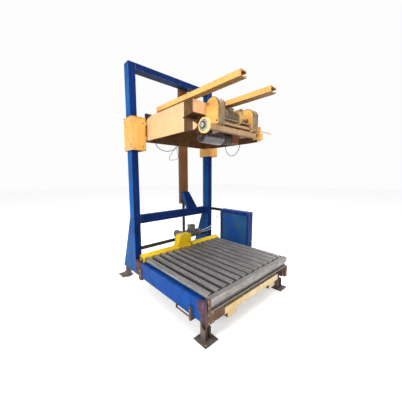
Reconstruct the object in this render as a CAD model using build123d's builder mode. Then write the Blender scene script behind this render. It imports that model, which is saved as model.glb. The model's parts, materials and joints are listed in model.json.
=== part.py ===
from build123d import *
import os
from math import pi, radians, tan

# Lifting portal over a driven roller conveyor. Millimetres, +Z up.
# X runs along the conveyor's length across the portal, Y runs from the front to the back.
# The origin is the centre of the floor anchor pattern, on the floor.

# Portal
POST_CENTRE = 750
POST_WIDTH = 100
POST_DEPTH = 140
TUBE_WALL = 6
PORTAL_HEIGHT = 3180
PORTAL_FRONT = 460
PORTAL_BACK = PORTAL_FRONT + POST_DEPTH
POST_INNER = POST_CENTRE - POST_WIDTH / 2
POST_OUTER = POST_CENTRE + POST_WIDTH / 2
TOP_BEAM_HEIGHT = 80
MID_BEAM_BOTTOM = 950
MID_BEAM_TOP = 1080
MID_BEAM_DEPTH = 50
STRUT_X = (200, 335)
STRUT_FOOT = 420
STRUT_TOP = 1365
GUSSET_TOP = 1030
GUSSET_REACH = 300

# Base frame
BEAM_BOTTOM = 207
BEAM_TOP = 422
BEAM_FRONT = -1038
ANCHOR_SPACING_X = 1610
ANCHOR_SPACING_Y = 2060
ANCHOR_HOLE_RADIUS = 9
FOOT_X = 745
FOOT_Y = 970
FOOT_LENGTH = 180
FOOT_THICKNESS = 10

# Conveyor
ROLLER_COUNT = 13
ROLLER_PITCH = 120
ROLLER_RADIUS = 38
ROLLER_AXIS_Z = 465
ROLLER_FRONT = -1006
ROLLER_BACK = 243
ROLLER_SHAFT_RADIUS = 10
RUNNING_GAP = 0.05
RAIL_HALF_LENGTH = 775
RAIL_TOP = 489
FRONT_RAIL_Y = (-1072, -1014)
REAR_RAIL_Y = (253, 311)
SPROCKET_TEETH = 15
SPROCKET_TIP_RADIUS = 34
SPROCKET_Y = (322, 329)
DRIVE_SPROCKET_Y = (331, 337)
DRIVEN_ROLLER = 7
DRIVE_SPROCKET_Z = 615
CHAIN_GAP = 0.8
CHAIN_DEPTH = 6
GUARD_SHEET = 3
GUARD_RIDGE_Z = 535

# Conveyor gearmotor
GEARBOX_X = (-56, 130)
GEARBOX_Y = (402, 500)
GEARBOX_BOTTOM = 558
GEARBOX_TOP = 677
CONVEYOR_MOTOR_RADIUS = 57
CONVEYOR_MOTOR_END = 459
LIFT_GEARBOX_X = (180, 300)
LIFT_GEARBOX_Y = (515, 600)
LIFT_GEARBOX_Z = (475, 612)

# Lift drive
LIFT_AXIS_Y = 550
LIFT_SHAFT_Z = 545
TOP_SHAFT_Z = 2990
LIFT_SHAFT_RADIUS = 16
LIFT_TUBE_RADIUS = 28
LIFT_SPROCKET_RADIUS = 28
LIFT_SPROCKET_TEETH = 13
LIFT_CHAIN_X = 680
BEARING_LENGTH = 14

# Carriage and head
SLEEVE_X = (632, 828)
SLEEVE_Y = (353, 619)
SLEEVE_Z = (2001, 2429)
SLEEVE_WALL = 6
HEAD_LEFT = -600
HEAD_RIGHT = 700
HEAD_BACK = 500
HEAD_SHOULDER_Y = -436
HEAD_FRONT = -600
HEAD_BOTTOM = 2142
HEAD_TOP = 2466
PLATE = 8
CHANNEL_HEIGHT = 56
CHANNEL_Y = (-1250, 75)
CHANNEL_XS = ((-620, -540), (-135, -35))

# Front drive of the head
DRUM_Y = -700
DRUM_Z = 2350
DRUM_RADIUS = 84
DRUM_GUARD_RADIUS = 100
DRUM_GUARD_ARC_Z = 2398
DRUM_GUARD_BOTTOM = 2206
DRUM_GUARD_X = (-395, 250)
DRUM_GUARD_WIDTH = 110
HEAD_MOTOR_RADIUS = 52
HEAD_MOTOR_X = (-225, 30)
ARM_XS = ((-283, -271), (236, 248))
DRUM_SHAFT_RADIUS = 14
FRONT_BAR_X = (-530, 370)
FRONT_BAR_Y = (-770, -720)
FRONT_BAR_Z = (2140, 2200)
FRONT_SHAFT_Y = -745
FRONT_SHAFT_Z = 2170
FRONT_SHAFT_RADIUS = 15
FILM_ROLL_Y = -340
FILM_ROLL_Z = 2165
FILM_ROLL_RADIUS = 90
FILM_ROLL_X = (-230, 140)

# Column behind the portal
COLUMN_X = (180, 345)
COLUMN_Y = (630, 690)
COLUMN_Z = (1150, 3160)

# Control cabinet
CABINET_X = (850, 940)
CABINET_Y = (-366, 266)
CABINET_Z = (392, 1030)
CABINET_SHEET = 4
DOOR_GAP = 2

os.makedirs("parts", exist_ok=True)


def save(piece, name):
    """Labels a finished piece and writes it as its own STEP file."""
    piece.part.label = name
    export_step(piece.part, f"parts/{name}.step")


def slab(x_span, y_span, z_span, mode=Mode.ADD):
    """Adds or cuts a box between two x, two y and two z values."""
    spans = (x_span, y_span, z_span)
    with Locations(tuple((low + high) / 2 for low, high in spans)):
        Box(*(high - low for low, high in spans), mode=mode)


def bar_x(radius, x_span, y, z, mode=Mode.ADD):
    """Adds or cuts a round bar along X."""
    with Locations(Location(((x_span[0] + x_span[1]) / 2, y, z), (0, 90, 0))):
        Cylinder(radius, x_span[1] - x_span[0], mode=mode)


def bar_y(radius, x, y_span, z, mode=Mode.ADD):
    """Adds or cuts a round bar along Y."""
    with Locations(Location((x, (y_span[0] + y_span[1]) / 2, z), (90, 0, 0))):
        Cylinder(radius, y_span[1] - y_span[0], mode=mode)


def bar_z(radius, x, y, z_span, mode=Mode.ADD):
    """Adds or cuts a round bar along Z."""
    with Locations((x, y, (z_span[0] + z_span[1]) / 2)):
        Cylinder(radius, z_span[1] - z_span[0], mode=mode)


def tube_x(x_span, y_span, z_span, wall):
    """Adds a rectangular tube along X."""
    slab(x_span, y_span, z_span)
    slab(
        x_span,
        (y_span[0] + wall, y_span[1] - wall),
        (z_span[0] + wall, z_span[1] - wall),
        mode=Mode.SUBTRACT,
    )


def roller_x(index):
    """The x of a roller's axis, counted from the left."""
    return (index - (ROLLER_COUNT - 1) / 2) * ROLLER_PITCH


ROLLER_AXES = [roller_x(i) for i in range(ROLLER_COUNT)]
SIDES = {"left": -1, "right": 1}


# ---- Portal frame ----

for side_name, side in SIDES.items():
    with BuildPart() as post:
        with BuildSketch(Plane.XY.offset(BEAM_BOTTOM)):
            with Locations((side * POST_CENTRE, PORTAL_FRONT + POST_DEPTH / 2)):
                RectangleRounded(POST_WIDTH, POST_DEPTH, 8)
                RectangleRounded(
                    POST_WIDTH - 2 * TUBE_WALL,
                    POST_DEPTH - 2 * TUBE_WALL,
                    3,
                    mode=Mode.SUBTRACT,
                )
        extrude(amount=PORTAL_HEIGHT - TUBE_WALL - BEAM_BOTTOM)
        with BuildSketch(Plane.XY.offset(PORTAL_HEIGHT - TUBE_WALL)):
            with Locations((side * POST_CENTRE, PORTAL_FRONT + POST_DEPTH / 2)):
                RectangleRounded(POST_WIDTH, POST_DEPTH, 8)
        extrude(amount=TUBE_WALL)
    save(post, f"{side_name}_post")

with BuildPart() as top_beam:
    tube_x(
        (-POST_INNER, POST_INNER),
        (PORTAL_FRONT, PORTAL_BACK),
        (PORTAL_HEIGHT - TOP_BEAM_HEIGHT, PORTAL_HEIGHT),
        TUBE_WALL,
    )
save(top_beam, "top_beam")

with BuildPart() as mid_beam:
    tube_x(
        (-POST_INNER, POST_INNER),
        (PORTAL_FRONT, PORTAL_FRONT + MID_BEAM_DEPTH),
        (MID_BEAM_BOTTOM, MID_BEAM_TOP),
        TUBE_WALL,
    )
    # The strut leans back from the beam to the cable column, and is wider at its foot.
    with BuildSketch(Plane.YZ.offset(STRUT_X[0])):
        with BuildLine():
            Polyline(
                (PORTAL_FRONT + 2, MID_BEAM_TOP),
                (PORTAL_FRONT + MID_BEAM_DEPTH - 2, MID_BEAM_TOP),
                (COLUMN_Y[0], STRUT_TOP - 105),
                (COLUMN_Y[0], STRUT_TOP),
                (COLUMN_Y[0] - 40, STRUT_TOP),
                close=True,
            )
        make_face()
    extrude(amount=STRUT_FOOT - STRUT_X[0])
    with BuildSketch(Plane.XZ.offset(-COLUMN_Y[1])):
        with BuildLine():
            Polyline(
                (STRUT_X[1], STRUT_TOP),
                (STRUT_FOOT, MID_BEAM_TOP + 6),
                (STRUT_FOOT + 20, MID_BEAM_TOP + 6),
                (STRUT_FOOT + 20, STRUT_TOP + 20),
                (STRUT_X[1], STRUT_TOP + 20),
                close=True,
            )
        make_face()
    extrude(amount=COLUMN_Y[1] - PORTAL_FRONT, mode=Mode.SUBTRACT)
save(mid_beam, "mid_beam")

# A boxed gusset widens each post towards the back, open underneath.
with BuildPart() as post_gussets:
    for side in SIDES.values():
        with BuildSketch(Plane.YZ.offset(side * POST_CENTRE)):
            with BuildLine():
                Polyline(
                    (PORTAL_BACK, BEAM_BOTTOM),
                    (PORTAL_BACK, GUSSET_TOP),
                    (PORTAL_BACK + GUSSET_REACH - 30, BEAM_BOTTOM + 60),
                    (PORTAL_BACK + GUSSET_REACH, BEAM_BOTTOM),
                    close=True,
                )
            make_face()
        extrude(amount=POST_WIDTH / 2, both=True)
        with BuildSketch(Plane.YZ.offset(side * POST_CENTRE)):
            with BuildLine():
                Polyline(
                    (PORTAL_BACK + TUBE_WALL, BEAM_BOTTOM),
                    (PORTAL_BACK + TUBE_WALL, GUSSET_TOP - 40),
                    (PORTAL_BACK + GUSSET_REACH - 42, BEAM_BOTTOM + 56),
                    (PORTAL_BACK + GUSSET_REACH - 18, BEAM_BOTTOM),
                    close=True,
                )
            make_face()
        extrude(amount=POST_WIDTH / 2 - TUBE_WALL, both=True, mode=Mode.SUBTRACT)
save(post_gussets, "post_gussets")

with BuildPart() as base_beams:
    for side in SIDES.values():
        outer = sorted((side * POST_INNER, side * POST_OUTER))
        slab(outer, (BEAM_FRONT, PORTAL_FRONT), (BEAM_BOTTOM, BEAM_TOP))
        slab(
            (outer[0] + 8, outer[1] - 8),
            (BEAM_FRONT, PORTAL_FRONT),
            (BEAM_BOTTOM + 8, BEAM_TOP - 8),
            mode=Mode.SUBTRACT,
        )
save(base_beams, "base_beams")

with BuildPart() as rear_cross_beam:
    tube_x(
        (-POST_INNER, POST_INNER),
        (PORTAL_FRONT + 10, PORTAL_FRONT + 110),
        (BEAM_BOTTOM, BEAM_BOTTOM + 120),
        8,
    )
    # Pedestals for the two gearmotors.
    slab((-50, 120), (472, 500), (BEAM_BOTTOM + 120, 550))
    slab((-60, 134), (402, 505), (550, GEARBOX_BOTTOM))
    slab((190, 290), (520, 568), (BEAM_BOTTOM + 120, LIFT_GEARBOX_Z[0]))
save(rear_cross_beam, "rear_cross_beam")

# The front cross beam carries two short pockets under its lower face.
FRONT_BEAM_Y = (-990, -900)
FRONT_BEAM_Z = (150, 236)
with BuildPart() as front_cross_beam:
    tube_x((-480, 690), FRONT_BEAM_Y, FRONT_BEAM_Z, 6)
    for pocket_x in (-350, 530):
        tube_x(
            (pocket_x - 75, pocket_x + 75),
            (FRONT_BEAM_Y[0] + 4, FRONT_BEAM_Y[1] - 4),
            (FRONT_BEAM_Z[0] - 62, FRONT_BEAM_Z[0]),
            6,
        )
save(front_cross_beam, "front_cross_beam")

# Bare steel brackets and clamps on the base beams.
with BuildPart() as beam_brackets:
    slab((-POST_INNER, -480), (-985, -905), (FRONT_BEAM_Z[0], 300))
    slab((-POST_INNER + 8, -480), (-977, -913), (FRONT_BEAM_Z[0], 292), mode=Mode.SUBTRACT)
    slab((690, POST_INNER), (-985, -905), (FRONT_BEAM_Z[0], 300))
    for side in SIDES.values():
        end_x = sorted((side * POST_INNER, side * POST_OUTER))
        slab(end_x, (BEAM_FRONT - 6, BEAM_FRONT), (BEAM_BOTTOM, 350))
    slab((740, POST_OUTER), (-1072, BEAM_FRONT - 6), (198, 348))
    slab((-790, -RAIL_HALF_LENGTH), (-1072, BEAM_FRONT - 6), (300, RAIL_TOP))
    slab((-812, -POST_OUTER), (276, 352), (176, 336))
    slab((-812, -770), (290, 338), (168, 176))
    slab((-824, -POST_OUTER), (-824, -796), (158, 308))
    slab((-824, -740), (-824, -796), (158, BEAM_BOTTOM))
    bar_y(8, -816, (-800, -566), 190)
    bar_x(8, (-824, -POST_OUTER), -574, 214)
    slab((-824, -808), (-582, -566), (182, 222))
save(beam_brackets, "beam_brackets")


# ---- Feet ----

def foot_corners(sign_x, sign_y):
    """The two anchor holes of one foot plate, the outer pair on one diagonal."""
    outer = (sign_x * ANCHOR_SPACING_X / 2, sign_y * ANCHOR_SPACING_Y / 2)
    inner = (sign_x * (2 * FOOT_X - ANCHOR_SPACING_X / 2), sign_y * (2 * FOOT_Y - ANCHOR_SPACING_Y / 2))
    return outer, inner


FOOT_SIGNS = [(-1, -1), (1, -1), (-1, 1), (1, 1)]

with BuildPart() as feet:
    for sign_x, sign_y in FOOT_SIGNS:
        x = sign_x * FOOT_X
        y = sign_y * FOOT_Y
        slab(
            (x - FOOT_LENGTH / 2, x + FOOT_LENGTH / 2),
            (y - FOOT_LENGTH / 2, y + FOOT_LENGTH / 2),
            (0, FOOT_THICKNESS),
        )
        # Upright plate with two side cheeks, welded to the plate under the beam or the gusset.
        reach = 26 if sign_y < 0 else 110
        inner_y = sorted((y - sign_y * reach, y - sign_y * (reach + 12)))
        slab((x - 44, x + 44), inner_y, (FOOT_THICKNESS, BEAM_BOTTOM))
        for cheek in (-44, 36):
            slab(
                (x + cheek, x + cheek + 8),
                sorted((y - sign_y * reach, y - sign_y * (reach - 56))),
                (FOOT_THICKNESS, BEAM_BOTTOM - (70 if sign_y < 0 else 110)),
            )
        for hole in foot_corners(sign_x, sign_y):
            bar_z(ANCHOR_HOLE_RADIUS, *hole, (0, FOOT_THICKNESS), mode=Mode.SUBTRACT)
save(feet, "feet")

with BuildPart() as jack_bolts:
    for sign_x, sign_y in FOOT_SIGNS:
        x = sign_x * FOOT_X
        y = sign_y * FOOT_Y + sign_y * (4 if sign_y < 0 else -85)
        bar_z(10, x, y, (FOOT_THICKNESS, BEAM_BOTTOM))
        with BuildSketch(Plane.XY.offset(BEAM_BOTTOM - 60)):
            with Locations((x, y)):
                RegularPolygon(17, 6)
        extrude(amount=16)
        with BuildSketch(Plane.XY.offset(FOOT_THICKNESS)):
            with Locations((x, y)):
                RegularPolygon(17, 6)
        extrude(amount=16)
save(jack_bolts, "jack_bolts")


# ---- Conveyor ----

with BuildPart() as front_rail:
    tube_x((-RAIL_HALF_LENGTH, RAIL_HALF_LENGTH), FRONT_RAIL_Y, (BEAM_TOP, RAIL_TOP), 5)
    slab((-RAIL_HALF_LENGTH, RAIL_HALF_LENGTH), (-1046, -1040), (366, BEAM_TOP))
    slab((-RAIL_HALF_LENGTH, RAIL_HALF_LENGTH), (FRONT_RAIL_Y[0], -1040), (356, 366))
    for x in ROLLER_AXES:
        bar_y(
            ROLLER_SHAFT_RADIUS + RUNNING_GAP,
            x,
            (FRONT_RAIL_Y[0] + 20, FRONT_RAIL_Y[1]),
            ROLLER_AXIS_Z,
            mode=Mode.SUBTRACT,
        )
save(front_rail, "front_rail")

with BuildPart() as rear_rail:
    tube_x((-RAIL_HALF_LENGTH, RAIL_HALF_LENGTH), REAR_RAIL_Y, (BEAM_TOP, RAIL_TOP), 5)
    for x in ROLLER_AXES:
        bar_y(ROLLER_SHAFT_RADIUS + RUNNING_GAP, x, REAR_RAIL_Y, ROLLER_AXIS_Z, mode=Mode.SUBTRACT)
save(rear_rail, "rear_rail")


def sprocket(plane, centre, teeth, tip_radius, thickness):
    """Adds a toothed wheel on a plane: a disc with a round gullet between teeth."""
    gullet_radius = tip_radius * radians(360 / teeth) * 0.33
    with BuildSketch(plane) as face:
        with Locations(centre):
            Circle(tip_radius)
            with PolarLocations(tip_radius, teeth):
                Circle(gullet_radius, mode=Mode.SUBTRACT)
    extrude(face.sketch, amount=thickness)


def back_plane(y):
    """A plane facing +Y at a given y, with its own x along -X and its own y along +Z."""
    return Plane(origin=(0, y, 0), x_dir=(-1, 0, 0), z_dir=(0, 1, 0))


for number, x in enumerate(ROLLER_AXES, start=1):
    with BuildPart() as roller:
        bar_y(ROLLER_RADIUS, x, (ROLLER_FRONT, ROLLER_BACK), ROLLER_AXIS_Z)
        chamfer(roller.edges().filter_by(GeomType.CIRCLE), 1.5)
        bar_y(ROLLER_RADIUS - 4, x, (ROLLER_FRONT + 8, ROLLER_BACK - 8), ROLLER_AXIS_Z, mode=Mode.SUBTRACT)
        bar_y(ROLLER_SHAFT_RADIUS, x, (FRONT_RAIL_Y[0] + 22, ROLLER_FRONT + 8), ROLLER_AXIS_Z)
        bar_y(ROLLER_SHAFT_RADIUS, x, (ROLLER_BACK - 8, SPROCKET_Y[0]), ROLLER_AXIS_Z)
        sprocket(
            back_plane(SPROCKET_Y[0]),
            (-x, ROLLER_AXIS_Z),
            SPROCKET_TEETH,
            SPROCKET_TIP_RADIUS,
            SPROCKET_Y[1] - SPROCKET_Y[0],
        )
        if number == DRIVEN_ROLLER:
            bar_y(14, x, (SPROCKET_Y[1], DRIVE_SPROCKET_Y[0]), ROLLER_AXIS_Z)
            sprocket(
                back_plane(DRIVE_SPROCKET_Y[0]),
                (-x, ROLLER_AXIS_Z),
                SPROCKET_TEETH,
                SPROCKET_TIP_RADIUS,
                DRIVE_SPROCKET_Y[1] - DRIVE_SPROCKET_Y[0],
            )
    save(roller, f"roller_{number:02d}")


def chain_loop(plane, centre, span, inner_radius, width, rotation=0):
    """Adds a closed chain loop round two wheels, just outside their teeth."""
    with BuildSketch(plane) as loop:
        with Locations(centre):
            SlotCenterToCenter(span, 2 * (inner_radius + CHAIN_DEPTH), rotation=rotation)
            SlotCenterToCenter(span, 2 * inner_radius, rotation=rotation, mode=Mode.SUBTRACT)
    extrude(loop.sketch, amount=width)


# One long chain runs round all the roller sprockets, and a short one drives the middle roller.
CHAIN_INNER = SPROCKET_TIP_RADIUS + CHAIN_GAP
with BuildPart() as roller_chain:
    chain_loop(
        back_plane(SPROCKET_Y[0] + 0.5),
        (0, ROLLER_AXIS_Z),
        ROLLER_PITCH * (ROLLER_COUNT - 1),
        CHAIN_INNER,
        SPROCKET_Y[1] - SPROCKET_Y[0] - 1,
    )
    chain_loop(
        back_plane(DRIVE_SPROCKET_Y[0] + 0.5),
        (0, (ROLLER_AXIS_Z + DRIVE_SPROCKET_Z) / 2),
        DRIVE_SPROCKET_Z - ROLLER_AXIS_Z,
        CHAIN_INNER,
        DRIVE_SPROCKET_Y[1] - DRIVE_SPROCKET_Y[0] - 1,
        rotation=90,
    )
save(roller_chain, "roller_chain")

with BuildPart() as drive_sprocket:
    sprocket(
        back_plane(DRIVE_SPROCKET_Y[0]),
        (0, DRIVE_SPROCKET_Z),
        SPROCKET_TEETH,
        SPROCKET_TIP_RADIUS,
        DRIVE_SPROCKET_Y[1] - DRIVE_SPROCKET_Y[0],
    )
    bar_y(12, 0, (DRIVE_SPROCKET_Y[1], GEARBOX_Y[0] + 60), DRIVE_SPROCKET_Z)
save(drive_sprocket, "drive_sprocket")

# The bent sheet guard covers the chain and has a scallop round each roller.
GUARD_FRONT_Y = 249
GUARD_BACK_Y = 342
GUARD_FRONT_Z = 497
GUARD_LOW_Z = 436
BUMP_X = (-160, 118)
BUMP_TOP_Z = 690
BUMP_Y = (272, 400)
GUARD_SPLIT_X = 130


def guard_solid(x_span, inset, mode):
    """Adds or cuts one length of the guard's section, smaller by the inset."""
    with BuildSketch(Plane.YZ.offset(x_span[0])) as section:
        with BuildLine():
            Polyline(
                (GUARD_FRONT_Y + inset, GUARD_LOW_Z),
                (GUARD_FRONT_Y + inset, GUARD_FRONT_Z - 0.5 * inset),
                (GUARD_BACK_Y - 14, GUARD_RIDGE_Z - inset),
                (GUARD_BACK_Y - inset, GUARD_RIDGE_Z - 8 - inset),
                (GUARD_BACK_Y - inset, GUARD_LOW_Z),
                close=True,
            )
        make_face()
    extrude(section.sketch, amount=x_span[1] - x_span[0], mode=mode)


def guard_run(x_span):
    """Adds one straight length of the guard, open at the bottom and the ends."""
    guard_solid(x_span, 0, Mode.ADD)
    guard_solid(x_span, GUARD_SHEET, Mode.SUBTRACT)


with BuildPart() as roller_guard:
    guard_run((-788, 118))
    guard_run((GUARD_SPLIT_X, 787))
    # The raised cover over the short chain is open towards the right, the back and below.
    with BuildSketch(Plane.XZ.offset(-BUMP_Y[0])):
        with BuildLine():
            Polyline(
                (BUMP_X[0], 500),
                (BUMP_X[0] + 62, BUMP_TOP_Z),
                (BUMP_X[1] - 6, BUMP_TOP_Z),
                (BUMP_X[1], 500),
                close=True,
            )
        make_face()
    extrude(amount=BUMP_Y[0] - BUMP_Y[1])
    with BuildSketch(Plane.XZ.offset(-BUMP_Y[0] - GUARD_SHEET)):
        with BuildLine():
            Polyline(
                (BUMP_X[0] + 4, 500),
                (BUMP_X[0] + 65, BUMP_TOP_Z - GUARD_SHEET),
                (BUMP_X[1], BUMP_TOP_Z - GUARD_SHEET),
                (BUMP_X[1], 500),
                close=True,
            )
        make_face()
    extrude(amount=BUMP_Y[0] - BUMP_Y[1] + GUARD_SHEET, mode=Mode.SUBTRACT)
    # Notch where the long chain passes under the cover's sloping end.
    slab((BUMP_X[0] - 4, BUMP_X[0] + 12), (312, 334), (495, 516), mode=Mode.SUBTRACT)
    scallop_y = (GUARD_FRONT_Y - 10, GUARD_FRONT_Y + 3.5)
    for x in ROLLER_AXES:
        bar_y(ROLLER_RADIUS + 3, x, scallop_y, ROLLER_AXIS_Z, mode=Mode.SUBTRACT)
save(roller_guard, "roller_guard")


# ---- Drives ----

def finned_motor(x_span, y, z, radius, shaft_radius):
    """Adds a motor body along X with cooling grooves, bored when it has a through shaft."""
    bar_x(radius, x_span, y, z)
    for groove in range(12):
        with BuildSketch(Plane.YZ.offset(x_span[0] + 30)) as slot:
            with Locations((y, z)):
                with PolarLocations(radius, 1, start_angle=groove * 30 + 15):
                    Rectangle(6, 8)
        extrude(slot.sketch, amount=x_span[1] - x_span[0] - 60, mode=Mode.SUBTRACT)
    if shaft_radius:
        bar_x(shaft_radius, x_span, y, z, mode=Mode.SUBTRACT)


with BuildPart() as conveyor_gearmotor:
    slab(GEARBOX_X, GEARBOX_Y, (GEARBOX_BOTTOM, GEARBOX_TOP))
    bar_y(12 + RUNNING_GAP, 0, (GEARBOX_Y[0], GEARBOX_Y[0] + 62), DRIVE_SPROCKET_Z, mode=Mode.SUBTRACT)
    finned_motor((GEARBOX_X[1], CONVEYOR_MOTOR_END), 450, 627, CONVEYOR_MOTOR_RADIUS, 0)
    slab((212, 318), (405, 495), (672, 786))
    bar_x(12, (CONVEYOR_MOTOR_END, CONVEYOR_MOTOR_END + 14), 438, 642)
    bar_x(12, (CONVEYOR_MOTOR_END, CONVEYOR_MOTOR_END + 14), 462, 612)
save(conveyor_gearmotor, "conveyor_gearmotor")

LIFT_MOTOR_X = 240
with BuildPart() as lift_gearmotor:
    slab(LIFT_GEARBOX_X, LIFT_GEARBOX_Y, LIFT_GEARBOX_Z)
    bar_y(68, LIFT_MOTOR_X, (LIFT_GEARBOX_Y[1], 850), LIFT_SHAFT_Z)
    bar_y(60, LIFT_MOTOR_X, (850, 872), LIFT_SHAFT_Z)
    bar_x(LIFT_SHAFT_RADIUS + RUNNING_GAP, LIFT_GEARBOX_X, LIFT_AXIS_Y, LIFT_SHAFT_Z, mode=Mode.SUBTRACT)
save(lift_gearmotor, "lift_gearmotor")


def sprocket_pair(z):
    """Adds the two lift sprockets at a height, one by each post."""
    for side in SIDES.values():
        sprocket(
            Plane.YZ.offset(side * LIFT_CHAIN_X - 4),
            (LIFT_AXIS_Y, z),
            LIFT_SPROCKET_TEETH,
            LIFT_SPROCKET_RADIUS,
            8,
        )


with BuildPart() as lift_shaft:
    bar_x(LIFT_SHAFT_RADIUS, (-POST_INNER + 1, POST_INNER - 1), LIFT_AXIS_Y, LIFT_SHAFT_Z)
    # Torque tubes stiffen the shaft on both sides of the gearbox.
    bar_x(LIFT_TUBE_RADIUS, (25 - LIFT_CHAIN_X, LIFT_GEARBOX_X[0] - 15), LIFT_AXIS_Y, LIFT_SHAFT_Z)
    bar_x(LIFT_TUBE_RADIUS, (LIFT_GEARBOX_X[1] + 15, LIFT_CHAIN_X - 25), LIFT_AXIS_Y, LIFT_SHAFT_Z)
    sprocket_pair(LIFT_SHAFT_Z)
save(lift_shaft, "lift_shaft")

# The upper sprockets are idlers, each on its own stub shaft.
with BuildPart() as top_shaft:
    for side in SIDES.values():
        stub = sorted((side * (LIFT_CHAIN_X - 16), side * (POST_INNER - 1)))
        bar_x(LIFT_SHAFT_RADIUS, stub, LIFT_AXIS_Y, TOP_SHAFT_Z)
    sprocket_pair(TOP_SHAFT_Z)
save(top_shaft, "top_shaft")

with BuildPart() as shaft_bearings:
    for side in SIDES.values():
        for z in (LIFT_SHAFT_Z, TOP_SHAFT_Z):
            span = sorted((side * POST_INNER, side * (POST_INNER - BEARING_LENGTH)))
            bar_x(32, span, LIFT_AXIS_Y, z)
            slab(
                sorted((side * POST_INNER, side * (POST_INNER - 6))),
                (LIFT_AXIS_Y - 30, LIFT_AXIS_Y + 30),
                (z - 46, z + 46),
            )
            bar_x(LIFT_SHAFT_RADIUS + RUNNING_GAP, span, LIFT_AXIS_Y, z, mode=Mode.SUBTRACT)
save(shaft_bearings, "shaft_bearings")

with BuildPart() as lift_chains:
    for side in SIDES.values():
        chain_loop(
            Plane.YZ.offset(side * LIFT_CHAIN_X - 3),
            (LIFT_AXIS_Y, (LIFT_SHAFT_Z + TOP_SHAFT_Z) / 2),
            TOP_SHAFT_Z - LIFT_SHAFT_Z,
            LIFT_SPROCKET_RADIUS + CHAIN_GAP,
            6,
            rotation=90,
        )
save(lift_chains, "lift_chains")


# ---- Column behind the portal ----

with BuildPart() as cable_column:
    slab(COLUMN_X, COLUMN_Y, COLUMN_Z)
    slab(
        (COLUMN_X[0] + 5, COLUMN_X[1] - 5),
        (COLUMN_Y[0] + 5, COLUMN_Y[1] - 5),
        COLUMN_Z,
        mode=Mode.SUBTRACT,
    )
    slab((COLUMN_X[0] + 10, COLUMN_X[1] - 10), (PORTAL_BACK, COLUMN_Y[0]), (3110, COLUMN_Z[1]))
save(cable_column, "cable_column")

CARRIER_X = 258
CARRIER_Y = 657
CARRIER_Z = (616, 1190)
LINK_PITCH = 41
with BuildPart() as cable_carrier:
    slab((CARRIER_X - 9, CARRIER_X + 9), (CARRIER_Y - 7, CARRIER_Y + 7), CARRIER_Z)
    for link in range(14):
        link_z = CARRIER_Z[0] + link * LINK_PITCH
        slab(
            (CARRIER_X - 24, CARRIER_X + 24),
            (CARRIER_Y - 13, CARRIER_Y + 13),
            (link_z, link_z + LINK_PITCH - 9),
        )
save(cable_carrier, "cable_carrier")


# ---- Control cabinet ----

HINGE_X = CABINET_X[1] + 11
HINGE_Y = 276
HINGE_ZS = (470, 930)
HINGE_RADIUS = 8
HINGE_PIN_RADIUS = 4
FRAME_X = (838, 850)

with BuildPart() as cabinet_shell:
    slab(CABINET_X, CABINET_Y, CABINET_Z)
    slab(
        (CABINET_X[0] + CABINET_SHEET, CABINET_X[1]),
        (CABINET_Y[0] + CABINET_SHEET, CABINET_Y[1] - CABINET_SHEET),
        (CABINET_Z[0] + CABINET_SHEET, CABINET_Z[1] - CABINET_SHEET),
        mode=Mode.SUBTRACT,
    )
    # Raised frame round the panel that faces the conveyor.
    slab(FRAME_X, CABINET_Y, CABINET_Z)
    slab(
        FRAME_X,
        (CABINET_Y[0] + 42, CABINET_Y[1] - 42),
        (CABINET_Z[0] + 48, CABINET_Z[1] - 66),
        mode=Mode.SUBTRACT,
    )
    for hinge_z in HINGE_ZS:
        bar_z(HINGE_RADIUS, HINGE_X, HINGE_Y, (hinge_z + 30.5, hinge_z + 60))
        slab((HINGE_X - 31, HINGE_X), (CABINET_Y[1], HINGE_Y + 6), (hinge_z + 30.5, hinge_z + 60))
        bar_z(
            HINGE_PIN_RADIUS + RUNNING_GAP,
            HINGE_X,
            HINGE_Y,
            (hinge_z + 30.5, hinge_z + 60),
            mode=Mode.SUBTRACT,
        )
    for gland_x, gland_z in ((868, 925), (905, 880)):
        bar_y(11, gland_x, (CABINET_Y[1], CABINET_Y[1] + 12), gland_z)
save(cabinet_shell, "cabinet_shell")

with BuildPart() as cabinet_door:
    slab(
        (CABINET_X[1] + DOOR_GAP, CABINET_X[1] + 20),
        (CABINET_Y[0] + 2, CABINET_Y[1] - 2),
        (CABINET_Z[0] + 2, CABINET_Z[1] - 2),
    )
    for hinge_z in HINGE_ZS:
        bar_z(HINGE_RADIUS, HINGE_X, HINGE_Y, (hinge_z, hinge_z + 30))
        slab((HINGE_X - 7, HINGE_X + 7), (CABINET_Y[1] - 2, HINGE_Y), (hinge_z, hinge_z + 30))
        bar_z(HINGE_PIN_RADIUS, HINGE_X, HINGE_Y, (hinge_z + 30, hinge_z + 62))
    slab((CABINET_X[1] + 20, CABINET_X[1] + 48), (-330, -318), (640, 652))
    slab((CABINET_X[1] + 20, CABINET_X[1] + 48), (-330, -318), (768, 780))
    slab((CABINET_X[1] + 40, CABINET_X[1] + 50), (-330, -318), (640, 780))
save(cabinet_door, "cabinet_door")

with BuildPart() as cabinet_rail:
    slab((POST_OUTER, 890), (480, 520), (985, 1030))
    slab((850, 890), (CABINET_Y[1], 480), (985, 1030))
    for bracket_y in (-300, 140):
        slab((POST_OUTER, FRAME_X[0]), (bracket_y, bracket_y + 60), (CABINET_Z[0], BEAM_TOP))
save(cabinet_rail, "cabinet_rail")


# ---- Lifting carriage ----

WHEEL_RADIUS = 46
WHEEL_PIN_RADIUS = 8
WHEEL_Y = PORTAL_FRONT - WHEEL_RADIUS - 0.4
WHEEL_Z = 2080
PAD_GAP = 0.4
LIP_HEIGHT = 16
SLEEVE_MID_Y = (SLEEVE_Y[0] + SLEEVE_Y[1]) / 2
SLEEVE_MID_X = (SLEEVE_X[0] + SLEEVE_X[1]) / 2
SLEEVE_SIZE = (SLEEVE_X[1] - SLEEVE_X[0], SLEEVE_Y[1] - SLEEVE_Y[0])

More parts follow.
